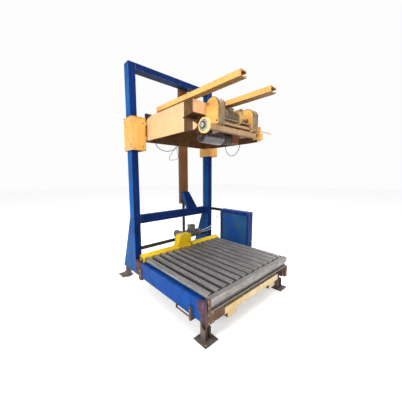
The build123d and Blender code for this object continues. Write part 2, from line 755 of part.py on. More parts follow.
for side_name, side in SIDES.items():
    with BuildPart() as sleeve:
        with BuildSketch(Plane.XY.offset(SLEEVE_Z[0])):
            with Locations((side * SLEEVE_MID_X, SLEEVE_MID_Y)):
                Rectangle(*SLEEVE_SIZE)
        extrude(amount=SLEEVE_Z[1] - SLEEVE_Z[0])
        with BuildSketch(Plane.XY.offset(SLEEVE_Z[1])):
            with Locations((side * SLEEVE_MID_X, SLEEVE_MID_Y)):
                Rectangle(*SLEEVE_SIZE)
        extrude(amount=LIP_HEIGHT, taper=-28)
        slab(
            sorted((side * (SLEEVE_X[0] + SLEEVE_WALL), side * (SLEEVE_X[1] - SLEEVE_WALL))),
            (SLEEVE_Y[0] + SLEEVE_WALL, SLEEVE_Y[1] - SLEEVE_WALL),
            (SLEEVE_Z[0], SLEEVE_Z[1] + LIP_HEIGHT),
            mode=Mode.SUBTRACT,
        )
        bar_x(WHEEL_PIN_RADIUS, sorted((side * SLEEVE_X[0], side * SLEEVE_X[1])), WHEEL_Y, WHEEL_Z)
        # Access holes in the front and outer walls.
        front_wall = (SLEEVE_Y[0], SLEEVE_Y[0] + SLEEVE_WALL)
        outer_wall = sorted((side * (SLEEVE_X[1] - 8), side * SLEEVE_X[1]))
        bar_y(9, side * (SLEEVE_X[0] + 38), front_wall, 2052, mode=Mode.SUBTRACT)
        bar_x(9, outer_wall, 470, 2150, mode=Mode.SUBTRACT)
        bar_x(9, outer_wall, 540, 2330, mode=Mode.SUBTRACT)
    save(sleeve, f"{side_name}_sleeve")

with BuildPart() as guide_wheels:
    for side in SIDES.values():
        wheel_x = (side * POST_CENTRE - 30, side * POST_CENTRE + 30)
        bar_x(WHEEL_RADIUS, wheel_x, WHEEL_Y, WHEEL_Z)
        bar_x(WHEEL_PIN_RADIUS + RUNNING_GAP, wheel_x, WHEEL_Y, WHEEL_Z, mode=Mode.SUBTRACT)
save(guide_wheels, "guide_wheels")

with BuildPart() as slide_pads:
    for side in SIDES.values():
        centre = (side * POST_CENTRE - 25, side * POST_CENTRE + 25)
        outer_gap = sorted((side * (POST_OUTER + PAD_GAP), side * (SLEEVE_X[1] - SLEEVE_WALL)))
        inner_gap = sorted((side * (SLEEVE_X[0] + SLEEVE_WALL), side * (POST_INNER - PAD_GAP)))
        for pad_z in ((2020, 2080), (2340, 2400)):
            slab(centre, (PORTAL_BACK + PAD_GAP, SLEEVE_Y[1] - SLEEVE_WALL), pad_z)
            slab(outer_gap, (500, 560), pad_z)
            slab(inner_gap, (470, 500), pad_z)
        slab(centre, (SLEEVE_Y[0] + SLEEVE_WALL, PORTAL_FRONT - PAD_GAP), (2340, 2400))
save(slide_pads, "slide_pads")


# ---- Head ----

HEAD_SLOPE_Y = 240
HEAD_REAR_Z = 2401
FRONT_PLATE_BOTTOM = 2280
SLEEVE_NOTCH_X = 620
SLEEVE_NOTCH_Y = 342
FRONT_TAPER = 20


def head_block(inset):
    """The head's outer shape, or its hollow when inset: a box with a sloped back and tapered front."""
    with BuildPart() as block:
        with BuildSketch(Plane.YZ.offset(HEAD_LEFT)):
            with BuildLine():
                Polyline(
                    (HEAD_FRONT, HEAD_BOTTOM),
                    (HEAD_BACK, HEAD_BOTTOM),
                    (HEAD_BACK, HEAD_REAR_Z - inset),
                    (HEAD_SLOPE_Y, HEAD_TOP - inset),
                    (HEAD_FRONT, HEAD_TOP - inset),
                    close=True,
                )
            make_face()
        extrude(amount=HEAD_RIGHT - HEAD_LEFT)
        with BuildSketch(Plane.XY.offset(HEAD_BOTTOM)):
            with BuildLine():
                Polyline(
                    (HEAD_LEFT + inset, HEAD_BACK - inset),
                    (SLEEVE_NOTCH_X - inset, HEAD_BACK - inset),
                    (SLEEVE_NOTCH_X - inset, SLEEVE_NOTCH_Y - inset),
                    (HEAD_RIGHT - inset, SLEEVE_NOTCH_Y - inset),
                    (HEAD_RIGHT - inset, HEAD_SHOULDER_Y),
                    (HEAD_RIGHT - FRONT_TAPER - inset, HEAD_FRONT + inset),
                    (HEAD_LEFT + FRONT_TAPER + inset, HEAD_FRONT + inset),
                    (HEAD_LEFT + inset, HEAD_SHOULDER_Y),
                    close=True,
                )
            make_face()
        extrude(amount=HEAD_TOP - HEAD_BOTTOM, mode=Mode.INTERSECT)
    return block.part


head_outer = head_block(0)
head_hollow = head_block(PLATE)

with BuildPart() as head_housing:
    add(head_outer)
    add(head_hollow, mode=Mode.SUBTRACT)
    # The front is open below its top band, and each front corner has a wedge-shaped opening.
    side_margin = FRONT_TAPER + PLATE + 4
    slab(
        (HEAD_LEFT + side_margin, HEAD_RIGHT - side_margin),
        (HEAD_FRONT, HEAD_FRONT + PLATE),
        (HEAD_BOTTOM, FRONT_PLATE_BOTTOM),
        mode=Mode.SUBTRACT,
    )
    with BuildSketch(Plane.YZ.offset(HEAD_LEFT)):
        with BuildLine():
            Polyline(
                (HEAD_SHOULDER_Y, 2295),
                (HEAD_FRONT, 2332),
                (HEAD_FRONT, 2232),
                close=True,
            )
        make_face()
    extrude(amount=HEAD_RIGHT - HEAD_LEFT, mode=Mode.SUBTRACT)
    slab((-380, 380), (HEAD_FRONT, HEAD_FRONT + PLATE), (FRONT_PLATE_BOTTOM, 2340))
    # Pointed tips of the side plates reach forward of the front plate.
    for tip_x in (HEAD_LEFT + FRONT_TAPER, HEAD_RIGHT - FRONT_TAPER - PLATE):
        with BuildSketch(Plane.YZ.offset(tip_x)):
            with BuildLine():
                Polyline(
                    (HEAD_FRONT, HEAD_BOTTOM),
                    (HEAD_FRONT, 2232),
                    (HEAD_FRONT - 76, 2186),
                    (HEAD_FRONT - 40, HEAD_BOTTOM + 8),
                    close=True,
                )
            make_face()
        extrude(amount=PLATE)
    # Lugs that join the housing to the sleeves, and cross ribs under the top plate.
    for lug_z in ((2160, 2200), (2352, 2392)):
        slab((-SLEEVE_X[0], HEAD_LEFT), (372, 492), lug_z)
        slab((SLEEVE_NOTCH_X, SLEEVE_X[0]), (372, 492), lug_z)
    for rib_y in (-180, 120):
        slab((HEAD_LEFT + PLATE, HEAD_RIGHT - PLATE), (rib_y, rib_y + PLATE), (2400, HEAD_TOP - PLATE))
    # Clips for the loose cables.
    for clip_x in (-409, -32, 8):
        slab((clip_x - 12, clip_x + 12), (448, HEAD_BACK - PLATE), (2180, 2200))
    for clip_y in (-300, -4):
        slab((638, HEAD_RIGHT - PLATE), (clip_y - 12, clip_y + 12), (2180, 2200))
save(head_housing, "head_housing")

with BuildPart() as junction_box:
    slab((-540, -440), (HEAD_BACK, HEAD_BACK + 28), (2376, 2556))
save(junction_box, "junction_box")

with BuildPart() as head_channels:
    for x_span in CHANNEL_XS:
        slab(x_span, CHANNEL_Y, (HEAD_TOP, HEAD_TOP + CHANNEL_HEIGHT))
        slab(
            (x_span[0] + PLATE, x_span[1] - PLATE),
            CHANNEL_Y,
            (HEAD_TOP + PLATE, HEAD_TOP + CHANNEL_HEIGHT - PLATE),
            mode=Mode.SUBTRACT,
        )
        slab(
            (x_span[1] - PLATE, x_span[1]),
            CHANNEL_Y,
            (HEAD_TOP + 18, HEAD_TOP + CHANNEL_HEIGHT - 18),
            mode=Mode.SUBTRACT,
        )
save(head_channels, "head_channels")

with BuildPart() as head_motor:
    finned_motor(HEAD_MOTOR_X, DRUM_Y, DRUM_Z, HEAD_MOTOR_RADIUS, DRUM_SHAFT_RADIUS + RUNNING_GAP)
    slab((-140, -60), (DRUM_Y - 34, DRUM_Y + 34), (DRUM_Z + 44, DRUM_Z + 84))
save(head_motor, "head_motor")


def drum_guard_section(plane, inset, depth, mode):
    """Adds or cuts the guard's section: a round top over straight front and back sides."""
    radius = DRUM_GUARD_RADIUS - inset
    low = DRUM_GUARD_BOTTOM if inset == 0 else DRUM_GUARD_BOTTOM - 10
    front = DRUM_Y - radius
    back = HEAD_FRONT - inset
    with BuildSketch(plane) as section:
        with Locations((DRUM_Y, DRUM_GUARD_ARC_Z)):
            Circle(radius)
        with Locations(((front + back) / 2, (low + DRUM_GUARD_ARC_Z) / 2)):
            Rectangle(back - front, DRUM_GUARD_ARC_Z - low)
    extrude(section.sketch, amount=depth, mode=mode)


with BuildPart() as drum_guards:
    for left_x in DRUM_GUARD_X:
        drum_guard_section(Plane.YZ.offset(left_x), 0, DRUM_GUARD_WIDTH, Mode.ADD)
        drum_guard_section(
            Plane.YZ.offset(left_x + GUARD_SHEET),
            GUARD_SHEET,
            DRUM_GUARD_WIDTH - 2 * GUARD_SHEET,
            Mode.SUBTRACT,
        )
    # The shaft passes through the two walls that face each other.
    inner_walls = (DRUM_GUARD_X[0] + DRUM_GUARD_WIDTH - GUARD_SHEET, DRUM_GUARD_X[1])
    for wall_x in inner_walls:
        bar_x(22, (wall_x - 1, wall_x + GUARD_SHEET + 1), DRUM_Y, DRUM_Z, mode=Mode.SUBTRACT)
save(drum_guards, "drum_guards")

with BuildPart() as drive_drums:
    bar_x(DRUM_SHAFT_RADIUS, (DRUM_GUARD_X[0] + 10, DRUM_GUARD_X[1] + DRUM_GUARD_WIDTH - 10), DRUM_Y, DRUM_Z)
    for left_x in DRUM_GUARD_X:
        bar_x(DRUM_RADIUS, (left_x + 25, left_x + DRUM_GUARD_WIDTH - 25), DRUM_Y, DRUM_Z)
        bar_x(DRUM_RADIUS - 12, (left_x + 25, left_x + 55), DRUM_Y, DRUM_Z, mode=Mode.SUBTRACT)
        bar_x(DRUM_SHAFT_RADIUS, (left_x + 10, left_x + 60), DRUM_Y, DRUM_Z)
save(drive_drums, "drive_drums")

with BuildPart() as front_bar:
    slab(FRONT_BAR_X, FRONT_BAR_Y, FRONT_BAR_Z)
    for arm_x in ARM_XS:
        slab(arm_x, (FRONT_BAR_Y[0], HEAD_FRONT), FRONT_BAR_Z)
        slab(arm_x, (HEAD_FRONT - 40, HEAD_FRONT), (FRONT_BAR_Z[0], 2420))
        slab(arm_x, (-772, HEAD_FRONT), (FRONT_BAR_Z[1], 2300))
    # Motor shelf and the tie tube between the arms.
    shelf_z = (DRUM_Z - HEAD_MOTOR_RADIUS - 12, DRUM_Z - HEAD_MOTOR_RADIUS)
    slab((ARM_XS[0][1], ARM_XS[1][0]), (-762, HEAD_FRONT), shelf_z)
    bar_x(22, (ARM_XS[0][0], ARM_XS[1][1]), FRONT_SHAFT_Y, 2240)
    bar_x(
        FRONT_SHAFT_RADIUS + RUNNING_GAP,
        FRONT_BAR_X,
        FRONT_SHAFT_Y,
        FRONT_SHAFT_Z,
        mode=Mode.SUBTRACT,
    )
save(front_bar, "front_bar")

with BuildPart() as front_shaft:
    bar_x(FRONT_SHAFT_RADIUS, (FRONT_BAR_X[0] - 30, FRONT_BAR_X[1] + 12), FRONT_SHAFT_Y, FRONT_SHAFT_Z)
    bar_x(77, (FRONT_BAR_X[0] - 34, FRONT_BAR_X[0] - 6), FRONT_SHAFT_Y, FRONT_SHAFT_Z)
    bar_x(62, (FRONT_BAR_X[0] - 34, FRONT_BAR_X[0] - 26), FRONT_SHAFT_Y, FRONT_SHAFT_Z, mode=Mode.SUBTRACT)
    bar_x(40, (FRONT_BAR_X[0] - 46, FRONT_BAR_X[0] - 20), FRONT_SHAFT_Y, FRONT_SHAFT_Z)
    bar_x(27, (FRONT_BAR_X[1] + 2, FRONT_BAR_X[1] + 12), FRONT_SHAFT_Y, FRONT_SHAFT_Z)
save(front_shaft, "front_shaft")

with BuildPart() as end_bracket:
    slab((FRONT_BAR_X[1] - 8, FRONT_BAR_X[1] + 60), (-766, -724), (FRONT_BAR_Z[1], FRONT_BAR_Z[1] + 12))
    slab((FRONT_BAR_X[1] + 48, FRONT_BAR_X[1] + 60), (-800, -690), (2130, 2290))
    slab((FRONT_BAR_X[1] + 60, FRONT_BAR_X[1] + 120), (-800, -788), (2130, 2210))
    bar_x(6, (FRONT_BAR_X[1] + 60, 800), FRONT_SHAFT_Y, 2254)
save(end_bracket, "end_bracket")

HANGER_X = (FILM_ROLL_X[0] - 20, FILM_ROLL_X[1] + 12)
FILM_SHAFT_RADIUS = 15
with BuildPart() as roll_hangers:
    hanger_y = (FILM_ROLL_Y - 45, FILM_ROLL_Y + 45)
    for hanger_x in HANGER_X:
        slab((hanger_x, hanger_x + PLATE), hanger_y, (FILM_ROLL_Z - 45, HEAD_TOP - PLATE))
    bar_x(
        FILM_SHAFT_RADIUS + RUNNING_GAP,
        (HANGER_X[0] - 1, HANGER_X[1] + PLATE + 1),
        FILM_ROLL_Y,
        FILM_ROLL_Z,
        mode=Mode.SUBTRACT,
    )
    # Brake unit beside the roll.
    bar_x(62, (HANGER_X[1] + 34, 320), FILM_ROLL_Y, FILM_ROLL_Z)
    slab((320, 470), (FILM_ROLL_Y - 70, FILM_ROLL_Y + 80), (2110, 2290))
    slab((380, 410), (FILM_ROLL_Y - 30, FILM_ROLL_Y + 40), (2290, HEAD_TOP - PLATE))
save(roll_hangers, "roll_hangers")

with BuildPart() as film_roll:
    bar_x(FILM_ROLL_RADIUS, FILM_ROLL_X, FILM_ROLL_Y, FILM_ROLL_Z)
    bar_x(38, (FILM_ROLL_X[0] - 6, FILM_ROLL_X[1] + 6), FILM_ROLL_Y, FILM_ROLL_Z)
    bar_x(FILM_SHAFT_RADIUS, (HANGER_X[0] - 14, HANGER_X[1] + PLATE + 14), FILM_ROLL_Y, FILM_ROLL_Z)
save(film_roll, "film_roll")


# ---- Cables ----

def corner_radii(points):
    """An arc for each corner: 0.45 of the shorter run over the tangent of half the turn."""
    radii = []
    for before, corner, after in zip(points, points[1:], points[2:]):
        run_in = Vector(*corner) - Vector(*before)
        run_out = Vector(*after) - Vector(*corner)
        half_turn = radians(run_in.get_angle(run_out)) / 2
        radii.append(0.45 * min(run_in.length, run_out.length) / tan(half_turn))
    return radii


def cable(points, diameter, name):
    """Sweeps a round cable along straight runs joined by tangent arcs."""
    radii = corner_radii(points)
    start = Vector(*points[0])
    with BuildPart() as tube:
        with BuildLine() as path:
            FilletPolyline(*points, radius=radii)
        with BuildSketch(Plane(origin=start, z_dir=path.line % 0)):
            Circle(diameter / 2)
        sweep(path=path.line)
    length = sum(edge.length for edge in path.line.edges())
    section = pi * diameter**2 / 4
    print(
        name,
        "length",
        round(length),
        "radii",
        [round(r) for r in radii],
        "volume ratio",
        round(tube.part.volume / (section * length), 3),
    )
    save(tube, name)


LEFT_CABLE = [
    (-409, 468, 2180),
    (-409, 468, 2124),
    (-354, 470, 2064),
    (-252, 471, 2034),
    (-148, 468, 2043),
    (-70, 466, 2072),
    (-14, 467, 2110),
    (8, 468, 2148),
    (8, 468, 2180),
]
THIN_CABLE = [
    (-42, 452, 2180),
    (-42, 452, 2118),
    (-98, 451, 2048),
    (-143, 450, 1990),
    (-178, 452, 1942),
    (-180, 453, 1912),
    (-152, 452, 1899),
    (-100, 451, 1904),
    (-42, 452, 1914),
    (-5, 453, 1934),
    (4, 453, 1966),
    (-12, 452, 2010),
    (-26, 452, 2066),
    (-22, 452, 2125),
    (-22, 452, 2180),
]
RIGHT_CABLE = [
    (650, -4, 2180),
    (650, -4, 2122),
    (649, -20, 2060),
    (650, -60, 2002),
    (652, -120, 1969),
    (650, -190, 1975),
    (648, -249, 2018),
    (650, -288, 2080),
    (650, -300, 2136),
    (650, -300, 2180),
]
UPPER_POWER_CABLE = [
    (473, 438, 642),
    (530, 438, 642),
    (588, 432, 648),
    (646, 422, 662),
    (702, 410, 684),
    (756, 399, 719),
    (811, 391, 767),
    (847, 391, 815),
    (864, 386, 862),
    (868, 363, 902),
    (868, 323, 925),
    (868, 278, 925),
]
LOWER_POWER_CABLE = [
    (473, 462, 612),
    (528, 462, 612),
    (586, 456, 604),
    (644, 444, 606),
    (700, 430, 622),
    (752, 414, 648),
    (802, 400, 682),
    (848, 393, 722),
    (884, 391, 770),
    (901, 386, 817),
    (905, 363, 857),
    (905, 323, 880),
    (905, 278, 880),
]
cable(LEFT_CABLE, 10, "head_cable_left")
cable(THIN_CABLE, 6, "head_cable_thin")
cable(RIGHT_CABLE, 9, "head_cable_right")
cable(UPPER_POWER_CABLE, 14, "power_cable_upper")
cable(LOWER_POWER_CABLE, 12, "power_cable_lower")
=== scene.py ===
import json
import math
import random

import bmesh
import bpy
from mathutils import Matrix, Vector


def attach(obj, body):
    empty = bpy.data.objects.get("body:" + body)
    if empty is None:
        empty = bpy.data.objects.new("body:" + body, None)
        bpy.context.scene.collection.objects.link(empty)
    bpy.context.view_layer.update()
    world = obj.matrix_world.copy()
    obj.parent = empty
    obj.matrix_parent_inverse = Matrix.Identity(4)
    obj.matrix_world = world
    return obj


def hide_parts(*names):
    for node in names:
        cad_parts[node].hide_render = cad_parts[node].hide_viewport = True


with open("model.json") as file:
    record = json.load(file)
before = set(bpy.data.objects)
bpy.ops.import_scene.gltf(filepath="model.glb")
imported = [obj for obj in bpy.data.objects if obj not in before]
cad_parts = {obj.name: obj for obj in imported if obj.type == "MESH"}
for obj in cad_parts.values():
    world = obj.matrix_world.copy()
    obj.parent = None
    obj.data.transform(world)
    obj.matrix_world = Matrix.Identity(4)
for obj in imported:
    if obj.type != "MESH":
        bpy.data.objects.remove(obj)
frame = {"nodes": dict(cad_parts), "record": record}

random.seed(7)
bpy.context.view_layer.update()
nodes = frame["nodes"]

# ---- Driving dimensions of the object, in millimetres ----

# These are the faces and axes that the detail pieces sit on.
# X runs across the portal, Y back towards its posts, and Z up.

POST_CENTRE = 750
POST_WIDTH = 100
POST_INNER = POST_CENTRE - POST_WIDTH / 2
POST_OUTER = POST_CENTRE + POST_WIDTH / 2
PORTAL_FRONT = 460
PORTAL_BACK = PORTAL_FRONT + 140
PORTAL_TOP = 3180
TOP_BEAM_BOTTOM = PORTAL_TOP - 80
MID_BEAM_BACK = PORTAL_FRONT + 50
MID_BEAM_Z = (950, 1080)
BEAM_TOP = 422
FOOT_X = 745

LIFT_AXIS_Y = 550
LIFT_SHAFT_Z = 545
TOP_SHAFT_Z = 2990
LIFT_CHAIN_X = 680
LIFT_MOTOR_X = 240
LIFT_GEARBOX_FRONT = 515

ROLLER_COUNT = 13
ROLLER_PITCH = 120
ROLLER_GAP_XS = [(gap - (ROLLER_COUNT - 2) / 2) * ROLLER_PITCH for gap in range(ROLLER_COUNT - 1)]
ROLLER_AXIS_Z = 465
ROLLER_CHAIN_RADIUS = 37.8
ROLLER_CHAIN_PITCH = 12.7
DRIVE_SPROCKET_Z = 615
FRONT_RAIL_FACE = -1072
GUARD_FACE = 249
GUARD_BUMP_FACE = 272
GEARBOX_TOP = 677
CONVEYOR_MOTOR_Y = 450
CONVEYOR_MOTOR_Z = 627

CABINET_FACE = 850
CABINET_FRAME_FACE = CABINET_FACE - 12
CABINET_FRONT = -366
DOOR_FACE = CABINET_FACE + 110
LOCK_Y = -324
LOCK_Z = 560

SLEEVE_FRONT = 353
SLEEVE_WIDTH = 196
SLEEVE_INNER = POST_CENTRE - 118
SLEEVE_OUTER = SLEEVE_INNER + SLEEVE_WIDTH
GUIDE_WHEEL_Y = PORTAL_FRONT - 46.4
GUIDE_WHEEL_Z = 2080
HEAD_LEFT = -600
HEAD_FRONT = -600
HEAD_RIGHT = 700
HEAD_BACK = 500
HEAD_TOP = 2466
CHANNEL_TOP = HEAD_TOP + 56

DRUM_Y = -700
DRUM_Z = 2350
DRUM_GUARD_LEFTS = (-395, 250)
DRUM_GUARD_ARC_Z = DRUM_Z + 48
DRUM_GUARD_RADIUS = 100
HEAD_MOTOR_LEFT = -225
HEAD_MOTOR_FLANGE = 31

SPINDLE_Y = -745
SPINDLE_Z = 2170
REEL_Y = -340
REEL_Z = 2165
JUNCTION_BOX_BACK = 534

CARRIER_X = 258
CARRIER_Y = 657
CARRIER_BOTTOM = 616
CARRIER_PITCH = 41
CARRIER_LINKS = 14

# ---- Camera ----

camera_data = bpy.data.cameras.new("camera")
camera = bpy.data.objects.new("camera", camera_data)
bpy.context.scene.collection.objects.link(camera)
camera_right = Vector((0.73987, -0.67274, -0.00317))
camera_forward = Vector((0.66819, 0.73541, -0.11269))
camera_up = camera_right.cross(camera_forward)
turn = Matrix((camera_right, camera_up, -camera_forward)).transposed().to_4x4()
camera.matrix_world = Matrix.Translation((-2.103, -2.368, 1.643)) @ turn
camera_data.sensor_width = 36.0
camera_data.lens = 18.736
camera_data.shift_x = 0.0048
camera_data.shift_y = -0.0025
camera_data.clip_end = 60.0
bpy.context.scene.camera = camera


# ---- Free cables ----

# A small point radius keeps the curve's bounding box close to its tube.
POINT_RADIUS = 0.002


def cable(name, body, points, diameter):
    """A round cable on one smooth curve through control points in metres."""
    curve = bpy.data.curves.new(name, "CURVE")
    curve.dimensions = "3D"
    curve.bevel_depth = diameter / 2 / POINT_RADIUS
    curve.bevel_resolution = 4
    curve.resolution_u = 10
    curve.use_fill_caps = True
    spline = curve.splines.new("NURBS")
    spline.points.add(len(points) - 1)
    for point, place in zip(spline.points, points):
        point.co = (*place, 1.0)
        point.radius = POINT_RADIUS
    spline.order_u = 3
    spline.use_endpoint_u = True
    piece = bpy.data.objects.new(name, curve)
    bpy.context.scene.collection.objects.link(piece)
    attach(piece, body)
    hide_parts(name.replace("_line", ""))
    return piece


LEFT_CABLE = [
    (-0.409, 0.468, 2.180), (-0.409, 0.468, 2.124), (-0.354, 0.470, 2.064), (-0.252, 0.471, 2.034),
    (-0.148, 0.468, 2.043), (-0.070, 0.466, 2.072), (-0.014, 0.467, 2.110), (0.008, 0.468, 2.148),
    (0.008, 0.468, 2.180),
]
THIN_CABLE = [
    (-0.042, 0.452, 2.180), (-0.042, 0.452, 2.118), (-0.098, 0.451, 2.048), (-0.143, 0.450, 1.990),
    (-0.178, 0.452, 1.942), (-0.180, 0.453, 1.912), (-0.152, 0.452, 1.899), (-0.100, 0.451, 1.904),
    (-0.042, 0.452, 1.914), (-0.005, 0.453, 1.934), (0.004, 0.453, 1.966), (-0.012, 0.452, 2.010),
    (-0.026, 0.452, 2.066), (-0.022, 0.452, 2.125), (-0.022, 0.452, 2.180),
]
RIGHT_CABLE = [
    (0.650, -0.004, 2.180), (0.650, -0.004, 2.122), (0.649, -0.020, 2.060), (0.650, -0.060, 2.002),
    (0.652, -0.120, 1.969), (0.650, -0.190, 1.975), (0.648, -0.249, 2.018), (0.650, -0.288, 2.080),
    (0.650, -0.300, 2.136), (0.650, -0.300, 2.180),
]
UPPER_POWER_CABLE = [
    (0.473, 0.438, 0.642), (0.530, 0.438, 0.642), (0.588, 0.432, 0.648), (0.646, 0.422, 0.662),
    (0.702, 0.410, 0.684), (0.756, 0.399, 0.719), (0.811, 0.391, 0.767), (0.847, 0.391, 0.815),
    (0.864, 0.386, 0.862), (0.868, 0.363, 0.902), (0.868, 0.323, 0.925), (0.868, 0.278, 0.925),
]
LOWER_POWER_CABLE = [
    (0.473, 0.462, 0.612), (0.528, 0.462, 0.612), (0.586, 0.456, 0.604), (0.644, 0.444, 0.606),
    (0.700, 0.430, 0.622), (0.752, 0.414, 0.648), (0.802, 0.400, 0.682), (0.848, 0.393, 0.722),
    (0.884, 0.391, 0.770), (0.901, 0.386, 0.817), (0.905, 0.363, 0.857), (0.905, 0.323, 0.880),
    (0.905, 0.278, 0.880),
]
CABLES = [
    ("head_cable_left", "carriage", "cable_rubber", LEFT_CABLE, 0.010, 0.564, "limp", "hanging"),
    ("head_cable_thin", "carriage", "cable_rubber", THIN_CABLE, 0.006, 0.737, "limp", "hanging"),
    ("head_cable_right", "carriage", "cable_rubber", RIGHT_CABLE, 0.009, 0.571, "limp", "hanging"),
    ("power_cable_upper", "frame", "cable_grey", UPPER_POWER_CABLE, 0.014, 0.619, "medium", "hanging"),
    ("power_cable_lower", "frame", "cable_grey", LOWER_POWER_CABLE, 0.012, 0.659, "medium", "hanging"),
]
cable_pieces = {}
for name, body, slot, points, diameter, length, stiffness, lay in CABLES:
    piece = cable(name + "_line", body, points, diameter)
    cable_pieces[name] = piece


# ---- Material helpers ----

class Paint:
    """Builds one node material in object coordinates, new or on a copy of another material."""

    def __init__(self, name, source=None):
        if source is None:
            self.material = bpy.data.materials.new(name)
            self.material.use_nodes = True
        else:
            self.material = source.copy()
            self.material.name = name
        self.tree = self.material.node_tree
        self.shader = self.tree.nodes["Principled BSDF"]
        self.where = self.tree.nodes.new("ShaderNodeTexCoord").outputs["Object"]
        self.normal = self.tree.nodes.new("ShaderNodeNewGeometry").outputs["Normal"]

    def put(self, socket, value):
        """Links another node's output to a socket, or sets a plain value on it."""
        if isinstance(value, bpy.types.NodeSocket):
            self.tree.links.new(value, socket)
        elif isinstance(value, tuple) and len(value) == 3 and socket.type == "RGBA":
            socket.default_value = (*value, 1.0)
        else:
            socket.default_value = value

    def noise(self, scale, detail=5.0, rough=0.6, stretch=(1, 1, 1), distort=0.0):
        """Cloudy noise from 0 to 1, finer along the axes with a larger stretch."""
        node = self.tree.nodes.new("ShaderNodeTexNoise")
        mapping = self.tree.nodes.new("ShaderNodeMapping")
        mapping.inputs["Scale"].default_value = stretch
        self.put(mapping.inputs["Vector"], self.where)
        self.put(node.inputs["Vector"], mapping.outputs["Vector"])
        node.inputs["Scale"].default_value = scale
        node.inputs["Detail"].default_value = detail
        node.inputs["Roughness"].default_value = rough
        node.inputs["Distortion"].default_value = distort
        return node.outputs["Fac"]

    def span(self, value, low, high, to_low=0.0, to_high=1.0):
        """Maps low..high to to_low..to_high, and holds the ends outside it."""
        node = self.tree.nodes.new("ShaderNodeMapRange")
        self.put(node.inputs["Value"], value)
        node.inputs["From Min"].default_value = low
        node.inputs["From Max"].default_value = high
        node.inputs["To Min"].default_value = to_low
        node.inputs["To Max"].default_value = to_high
        return node.outputs["Result"]

    def math(self, operation, a, b=0.0):
        """One sum; additions and subtractions stay between 0 and 1."""
        node = self.tree.nodes.new("ShaderNodeMath")
        node.operation = operation
        node.use_clamp = operation in ("ADD", "SUBTRACT")
        self.put(node.inputs[0], a)
        self.put(node.inputs[1], b)
        return node.outputs[0]

    def mix(self, factor, a, b):
        """Blends colour a into colour b."""
        node = self.tree.nodes.new("ShaderNodeMix")
        node.data_type = "RGBA"
        self.put(node.inputs["Factor"], factor)
        self.put(node.inputs["A"], a)
        self.put(node.inputs["B"], b)
        return node.outputs["Result"]

    def axis(self, vector, index):
        """The X, Y or Z part of a vector."""
        node = self.tree.nodes.new("ShaderNodeSeparateXYZ")
        self.put(node.inputs[0], vector)
        return node.outputs[index]

    def edges(self, radius, low, high):
        """1 along sharp edges and 0 on flat faces."""
        bevel = self.tree.nodes.new("ShaderNodeBevel")
        bevel.samples = 6
        bevel.inputs["Radius"].default_value = radius
        dot = self.tree.nodes.new("ShaderNodeVectorMath")
        dot.operation = "DOT_PRODUCT"
        self.put(dot.inputs[0], bevel.outputs["Normal"])
        self.put(dot.inputs[1], self.normal)
        return self.span(dot.outputs["Value"], high, low)

    def bump(self, height, strength, distance):
        """Makes the surface look raised where the height is large."""
        node = self.tree.nodes.new("ShaderNodeBump")
        node.inputs["Strength"].default_value = strength
        node.inputs["Distance"].default_value = distance
        self.put(node.inputs["Height"], height)
        self.put(self.shader.inputs["Normal"], node.outputs["Normal"])

    def finish(self, color, rough, metallic=0.0, coat=0.0):
        """Connects the main inputs and returns the material."""
        self.put(self.shader.inputs["Base Color"], color)
        self.put(self.shader.inputs["Roughness"], rough)
        self.put(self.shader.inputs["Metallic"], metallic)
        self.shader.inputs["Coat Weight"].default_value = coat
        self.shader.inputs["Coat Roughness"].default_value = 0.25
        return self.material


